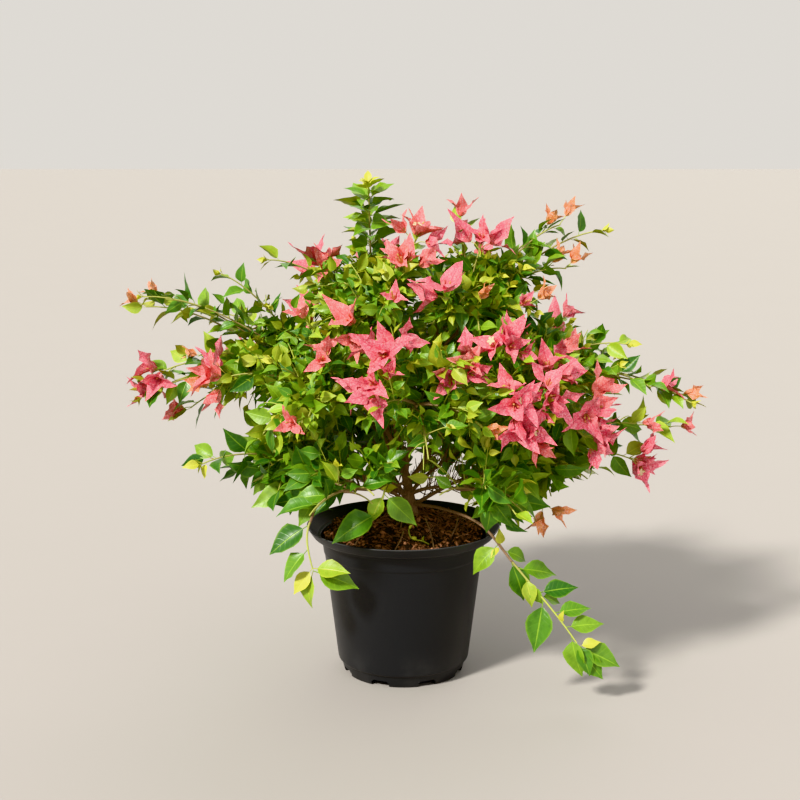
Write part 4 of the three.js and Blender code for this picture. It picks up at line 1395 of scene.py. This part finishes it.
def slot_cutter(pot):
    """A block with rounded edges for each drain slot."""
    mesh = bmesh.new()
    for i in range(pot.slots):
        turn = Matrix.Rotation(math.tau * (i + 0.5) / pot.slots, 3, "Z")
        made = bmesh.ops.create_cube(mesh, size=1.0)["verts"]
        bmesh.ops.scale(mesh, verts=made, vec=(SLOT_DEPTH, pot.slot_width, 2 * pot.slot_height))
        bmesh.ops.translate(mesh, verts=made, vec=(pot.base_radius, 0, 0))
        bmesh.ops.rotate(mesh, verts=made, cent=(0, 0, 0), matrix=turn)
    edges = [edge for edge in mesh.edges if runs_outward(edge)]
    bmesh.ops.bevel(mesh, geom=edges, offset=SLOT_ROUNDING, segments=3, affect="EDGES")
    return new_object("slot_cutter", *lists_of(mesh))


def smooth_up_to(piece, degrees):
    """Smooth shading, with edges sharper than degrees kept crisp."""
    mesh = bmesh.new()
    mesh.from_mesh(piece.data)
    for face in mesh.faces:
        face.smooth = True
    for edge in mesh.edges:
        if len(edge.link_faces) == 2:
            edge.smooth = edge.calc_face_angle() < math.radians(degrees)
    mesh.to_mesh(piece.data)
    mesh.free()


class BUSH_OT_pot(bpy.types.Operator):
    """Make the pot: a turned wall with its rim, ridge and foot band, cut by the drain slots"""

    bl_idname = "bush.pot"
    bl_label = "Pot"

    def execute(self, context):
        pot = context.scene.bush_pot
        maker = new_object("pot_shell", *turned_wall(pot_outline(pot), POT_SIDES))
        cutter = slot_cutter(pot)
        cut = maker.modifiers.new("slots", "BOOLEAN")
        cut.operation = "DIFFERENCE"
        cut.solver = "EXACT"
        cut.object = cutter
        piece = plain_mesh(maker)
        bpy.data.objects.remove(cutter)
        smooth_up_to(piece, CRISP_EDGE)
        dress(piece, plastic_of_pot(paints(context).pot))
        seat(piece, "pot", "pot")
        return {"FINISHED"}


def soil_bed(soil, edge):
    """The mound, with a skirt down the wall and a flat underside."""
    vertices = [(0.0, 0.0, soil.top_height - 0.001)]
    for ring in range(1, SOIL_RINGS + 1):
        radius = edge * ring / SOIL_RINGS
        fall = past(radius / MM, 15, 90)
        height = mix(soil.top_height, soil.edge_height, fall * fall * (3 - 2 * fall))
        free = past(radius, 0.010, 0.012)
        for x, y in circle(radius, SOIL_SIDES):
            broad, close = noise.noise(Vector((x, y, 0.3)) * 34), noise.noise(Vector((x, y, 1.3)) * 88)
            vertices.append((x, y, height + soil.lump * free * (0.60 * broad + 0.75 * close)))
    skirt, below = len(vertices), soil.edge_height - 0.016
    vertices += [(0.985 * x, 0.985 * y, below) for x, y in circle(edge, SOIL_SIDES)]
    vertices.append((0.0, 0.0, below))
    turns = [(i, (i + 1) % SOIL_SIDES) for i in range(SOIL_SIDES)]
    faces = [(0, 1 + i, 1 + j) for i, j in turns]
    faces += [(a, d, c, b) for a, b, c, d in ring_quads(1, SOIL_SIDES, SOIL_RINGS)]
    faces += [(skirt + j, skirt + i, len(vertices) - 1) for i, j in turns]
    return new_object("soil_bed", vertices, faces)


def mark_strewn(mesh, reach):
    """Marks the upper faces of the soil within reach of its middle, where crumbs may lie."""
    lowest = min(v.co.z for v in mesh.vertices) + 0.004
    mark(mesh, "strewn", [float(v.co.xy.length < reach and v.co.z > lowest) for v in mesh.vertices])


class BUSH_OT_soil(bpy.types.Operator):
    """Make the soil: a lumpy mound, strewn with bark chips, crumbs and root fibres"""

    bl_idname = "bush.soil"
    bl_label = "Soil"

    def execute(self, context):
        soil, pot, rgb = context.scene.bush_soil, context.scene.bush_pot, paints(context)
        edge = pot.rim_radius - pot.band_flare - pot.overhang - pot.wall - 0.001
        bed = soil_bed(soil, edge)
        chip = skin_of_chips("chip_skin", shade(rgb.chip, 0.03), rgb.chip, 2.4)
        crumb = skin_of_chips("crumb_skin", shade(rgb.soil, 0.4), shade(rgb.chip, 0.8), 3.0)
        fibre = skin_of_chips("fibre_skin", shade(rgb.chip, 0.5), (0.66, 0.42, 0.30), 1.5)
        # Each kind keeps its margin to the wall. Density counts crumbs to a square metre.
        for name, shelf, margin, density, smallest, seed, skin in (
            ("soil_chips", chip_shelf(soil.chip), 0.005, soil.chips, 0.3, 3, chip),
            ("soil_crumbs", chip_shelf(0.50 * soil.chip), 0.002, 3.0 * soil.chips, 0.3, 8, crumb),
            ("soil_fibres", fibre_shelf(), 0.017, soil.fibres, 0.4, 5, fibre),
        ):
            maker = placed_object(name, bed.data.copy())
            mark_strewn(maker.data, edge - margin)
            piece = crumb_tree().run(maker, Shapes=shelf.collection, Material=skin, Density=density,
                                     Smallest=smallest, Seed=seed)
            shelf.clear()
            seat(piece, "soil", "soil")
        dress(bed, mix_of_soil(rgb.soil, rgb.chip))
        seat(bed, "soil", "soil")
        return {"FINISHED"}


def limb_tube(path, radii, sides, step, relief, flare, seed):
    """Vertices, faces and UVs of one round limb whose bark is furrowed along it."""
    count = max(6, int(path.length / step))
    vertices, uv = [], []
    across, _ = cross_frame(path.heading(0))
    for ring in range(count + 1):
        t = ring / count
        distance = path.length * ring / count
        along = path.heading(distance)
        across = unit(across - along * float(across @ along))
        beside = np.cross(along, across)
        centre = path.at(distance)
        swell = flare * math.exp(-t / 0.09)
        knot = 0.09 * max(0.0, noise.noise(Vector((seed, distance * 0.09, 0.0))))
        for i in range(sides):
            turn = math.tau * i / sides
            spot = Vector((3.0 * math.cos(turn), 3.0 * math.sin(turn), distance * 0.045 + seed))
            rough = relief * (noise.noise(spot) + 0.55 * noise.noise(spot * 3.1))
            lobed = swell * (0.75 + 0.25 * math.cos(5 * turn))
            reach = (mix(*radii, t) + lobed) * (1 + rough + knot)
            point = centre + (across * math.cos(turn) + beside * math.sin(turn)) * reach
            vertices.append(tuple(point * MM))
            uv.append((2 * abs(i / sides - 0.5), distance / 60))
    return vertices, capped_rings(sides, count), uv


class BUSH_OT_wood(bpy.types.Operator):
    """Make the trunk and the boughs, with the relief of their bark"""

    bl_idname = "bush.wood"
    bl_label = "Trunk and Boughs"

    def execute(self, context):
        vertices, faces, uv = [], [], []
        for k, (name, path, root, tip) in enumerate(grown_crown(context).limbs):
            bark = TRUNK_BARK if name == "trunk" else BOUGH_BARK
            made = limb_tube(path, (root, tip), seed=11.3 * k, **bark)
            faces += [tuple(i + len(vertices) for i in face) for face in made[1]]
            vertices += made[0]
            uv += made[2]
        piece = new_object("trunk_and_boughs", vertices, faces, uv)
        dress(piece, bark_of_wood(paints(context).bark))
        seat(piece, "bark", "trunk", *nodes_named("bough_"))
        return {"FINISHED"}


class BUSH_OT_twigs(bpy.types.Operator):
    """Make the shoots, the side twigs and the stalks of the clusters"""

    bl_idname = "bush.twigs"
    bl_label = "Twigs"

    def execute(self, context):
        points, edges, radii, greens = [], [], [], []
        for path, root, tip, green in grown_crown(context).twigs:
            line = path.points[:: 2 if len(path.points) > 12 else 1]
            start = len(points)
            for k, point in enumerate(line):
                t = k / (len(line) - 1)
                points.append(tuple(point * MM))
                radii.append(mix(root, tip, t) * MM)
                greens.append(mix(green * 0.7, min(1.0, green + 0.3), t))
            edges += [(k - 1, k) for k in range(start + 1, len(points))]
        mesh = bpy.data.meshes.new("twigs")
        mesh.from_pydata(points, edges, [])
        mark(mesh, "radius", radii)
        mark(mesh, "green", greens)
        rgb = paints(context)
        skin = skin_of_twigs(shade(rgb.bark, 0.55), rgb.green_twig)
        piece = twig_tree().run(placed_object("twigs", mesh), Material=skin)
        piece.data.shade_smooth()
        seat(piece, "bark", *nodes_named("foliage_"))
        return {"FINISHED"}


class BUSH_OT_leaves(bpy.types.Operator):
    """Make the leaves, in four ages from deep green to yellow-green, with the deep green inside the crown and
    low down partly painted shade
    """

    bl_idname = "bush.leaves"
    bl_label = "Leaves"

    def execute(self, context):
        rgb = paints(context)
        deep, mid, fresh, young = rgb.deep_leaf, rgb.mid_leaf, rgb.fresh_leaf, rgb.young_leaf
        skins = {
            "deep": skin_of_leaves("leaf_deep", deep, mid, fresh, 0.30),
            "mid": skin_of_leaves("leaf_mid", mid, shade(fresh, 0.8), shade(fresh, 1.1), 0.32),
            "fresh": skin_of_leaves("leaf_fresh", fresh, shade(young, 0.72), young, 0.34),
            "young": skin_of_leaves("leaf_young", young, (0.50, 0.50, 0.07), shade(young, 1.2), 0.40),
        }
        crown_pieces("leaves", grown_crown(context).leaves, blade_shelf("leaf", LEAF), skins, LEAF.seed)
        return {"FINISHED"}


class BUSH_OT_bracts(bpy.types.Operator):
    """Make the bracts: pink, coral, and the peach of those that are still opening"""

    bl_idname = "bush.bracts"
    bl_label = "Bracts"

    def execute(self, context):
        rgb = paints(context)
        papers = {
            "pink": paper_of_bracts("bract_pink", rgb.pink, (0.70, 0.065, 0.13), (0.92, 0.46, 0.34)),
            "coral": paper_of_bracts("bract_coral", rgb.coral, (0.74, 0.09, 0.11), (0.90, 0.50, 0.27)),
            "peach": paper_of_bracts("bract_peach", rgb.peach, (0.76, 0.20, 0.10), (0.70, 0.58, 0.16)),
        }
        crown_pieces("bracts", grown_crown(context).bracts, blade_shelf("bract", BRACT), papers, BRACT.seed)
        return {"FINISHED"}


class BUSH_OT_flowers(bpy.types.Operator):
    """Make the small flowers in the bracts: closed tubes, and a few open cream stars"""

    bl_idname = "bush.flowers"
    bl_label = "Flowers"

    def execute(self, context):
        flowers, cream = grown_crown(context).flowers, paints(context).cream
        for kind, shelf, dark, light in (
            ("tubes", tube_shelf(), (0.50, 0.10, 0.11), (0.56, 0.40, 0.13)),
            ("stars", star_shelf(), shade(cream, 0.85), cream),
        ):
            skin = skin_of_chips(f"flower_{kind}_skin", dark, light)
            crown_pieces("flower", flowers, shelf, {kind: skin}, FLOWER_SEED)
        return {"FINISHED"}


class BUSH_OT_stage(bpy.types.Operator):
    """Set the floor, the soft lights and the camera of the photograph's view"""

    bl_idname = "bush.stage"
    bl_label = "Stage"

    def execute(self, context):
        scene = context.scene
        bpy.ops.mesh.primitive_plane_add(size=FLOOR_SIZE)
        floor = context.object
        floor.name = "stage_floor"
        dress(floor, plain_of_stage(FLOOR_RGB))
        scene.world = bpy.data.worlds.new("pale_room")
        scene.world.use_nodes = True
        room = scene.world.node_tree.nodes["Background"].inputs
        room["Color"].default_value = ROOM_RGBA
        room["Strength"].default_value = ROOM_STRENGTH
        scene.view_settings.view_transform = "Khronos PBR Neutral"
        for name, settings in LIGHTS.items():
            self.sun(name, *settings)
        camera = bpy.data.cameras.new("camera")
        camera.lens = CAMERA.lens
        camera.sensor_width = CAMERA.sensor
        scene.camera = placed_object("camera", camera)
        scene.camera.location = CAMERA.place
        scene.camera.rotation_euler = (math.radians(90 - CAMERA.tilt_down), 0.0, 0.0)
        return {"FINISHED"}

    def sun(self, name, place, degrees, strength, rgb):
        """A soft light that reaches the whole floor evenly, from the side where place lies."""
        light = bpy.data.lights.new(name, "SUN")
        light.angle, light.energy, light.color = math.radians(degrees), strength, rgb
        made = placed_object(name, light)
        made.location = place
        aim = Vector(LIGHTS_AIM) - made.location
        made.rotation_euler = aim.to_track_quat("-Z", "Y").to_euler()


class BUSH_PT_panel(bpy.types.Panel):
    """The bush's steps and sizes in the sidebar"""

    bl_label = "Potted Bougainvillea"
    bl_space_type = "VIEW_3D"
    bl_region_type = "UI"
    bl_category = "Bush"

    def draw(self, context):
        for operator in OPERATORS:
            self.layout.operator(operator.bl_idname)
        for name in GROUPS:
            box = self.layout.box()
            group = getattr(context.scene, name)
            for field in type(group).__annotations__:
                box.prop(group, field)


GROUPS = {
    "bush_pot": BushPotSizes,
    "bush_soil": BushSoilSizes,
    "bush_leaf": BushLeafSizes,
    "bush_colours": BushColours,
}
OPERATORS = (
    BUSH_OT_pot,
    BUSH_OT_soil,
    BUSH_OT_wood,
    BUSH_OT_twigs,
    BUSH_OT_leaves,
    BUSH_OT_bracts,
    BUSH_OT_flowers,
    BUSH_OT_stage,
)


def register():
    for cls in (*GROUPS.values(), *OPERATORS, BUSH_PT_panel):
        bpy.utils.register_class(cls)
    for name, cls in GROUPS.items():
        setattr(bpy.types.Scene, name, PointerProperty(type=cls))


def unregister():
    for name in GROUPS:
        delattr(bpy.types.Scene, name)
    for cls in (BUSH_PT_panel, *reversed(OPERATORS), *reversed(GROUPS.values())):
        bpy.utils.unregister_class(cls)


def main():
    register()
    for operator in OPERATORS:
        group, name = operator.bl_idname.split(".")
        getattr(getattr(bpy.ops, group), name)()


if __name__ == "__main__":
    main()
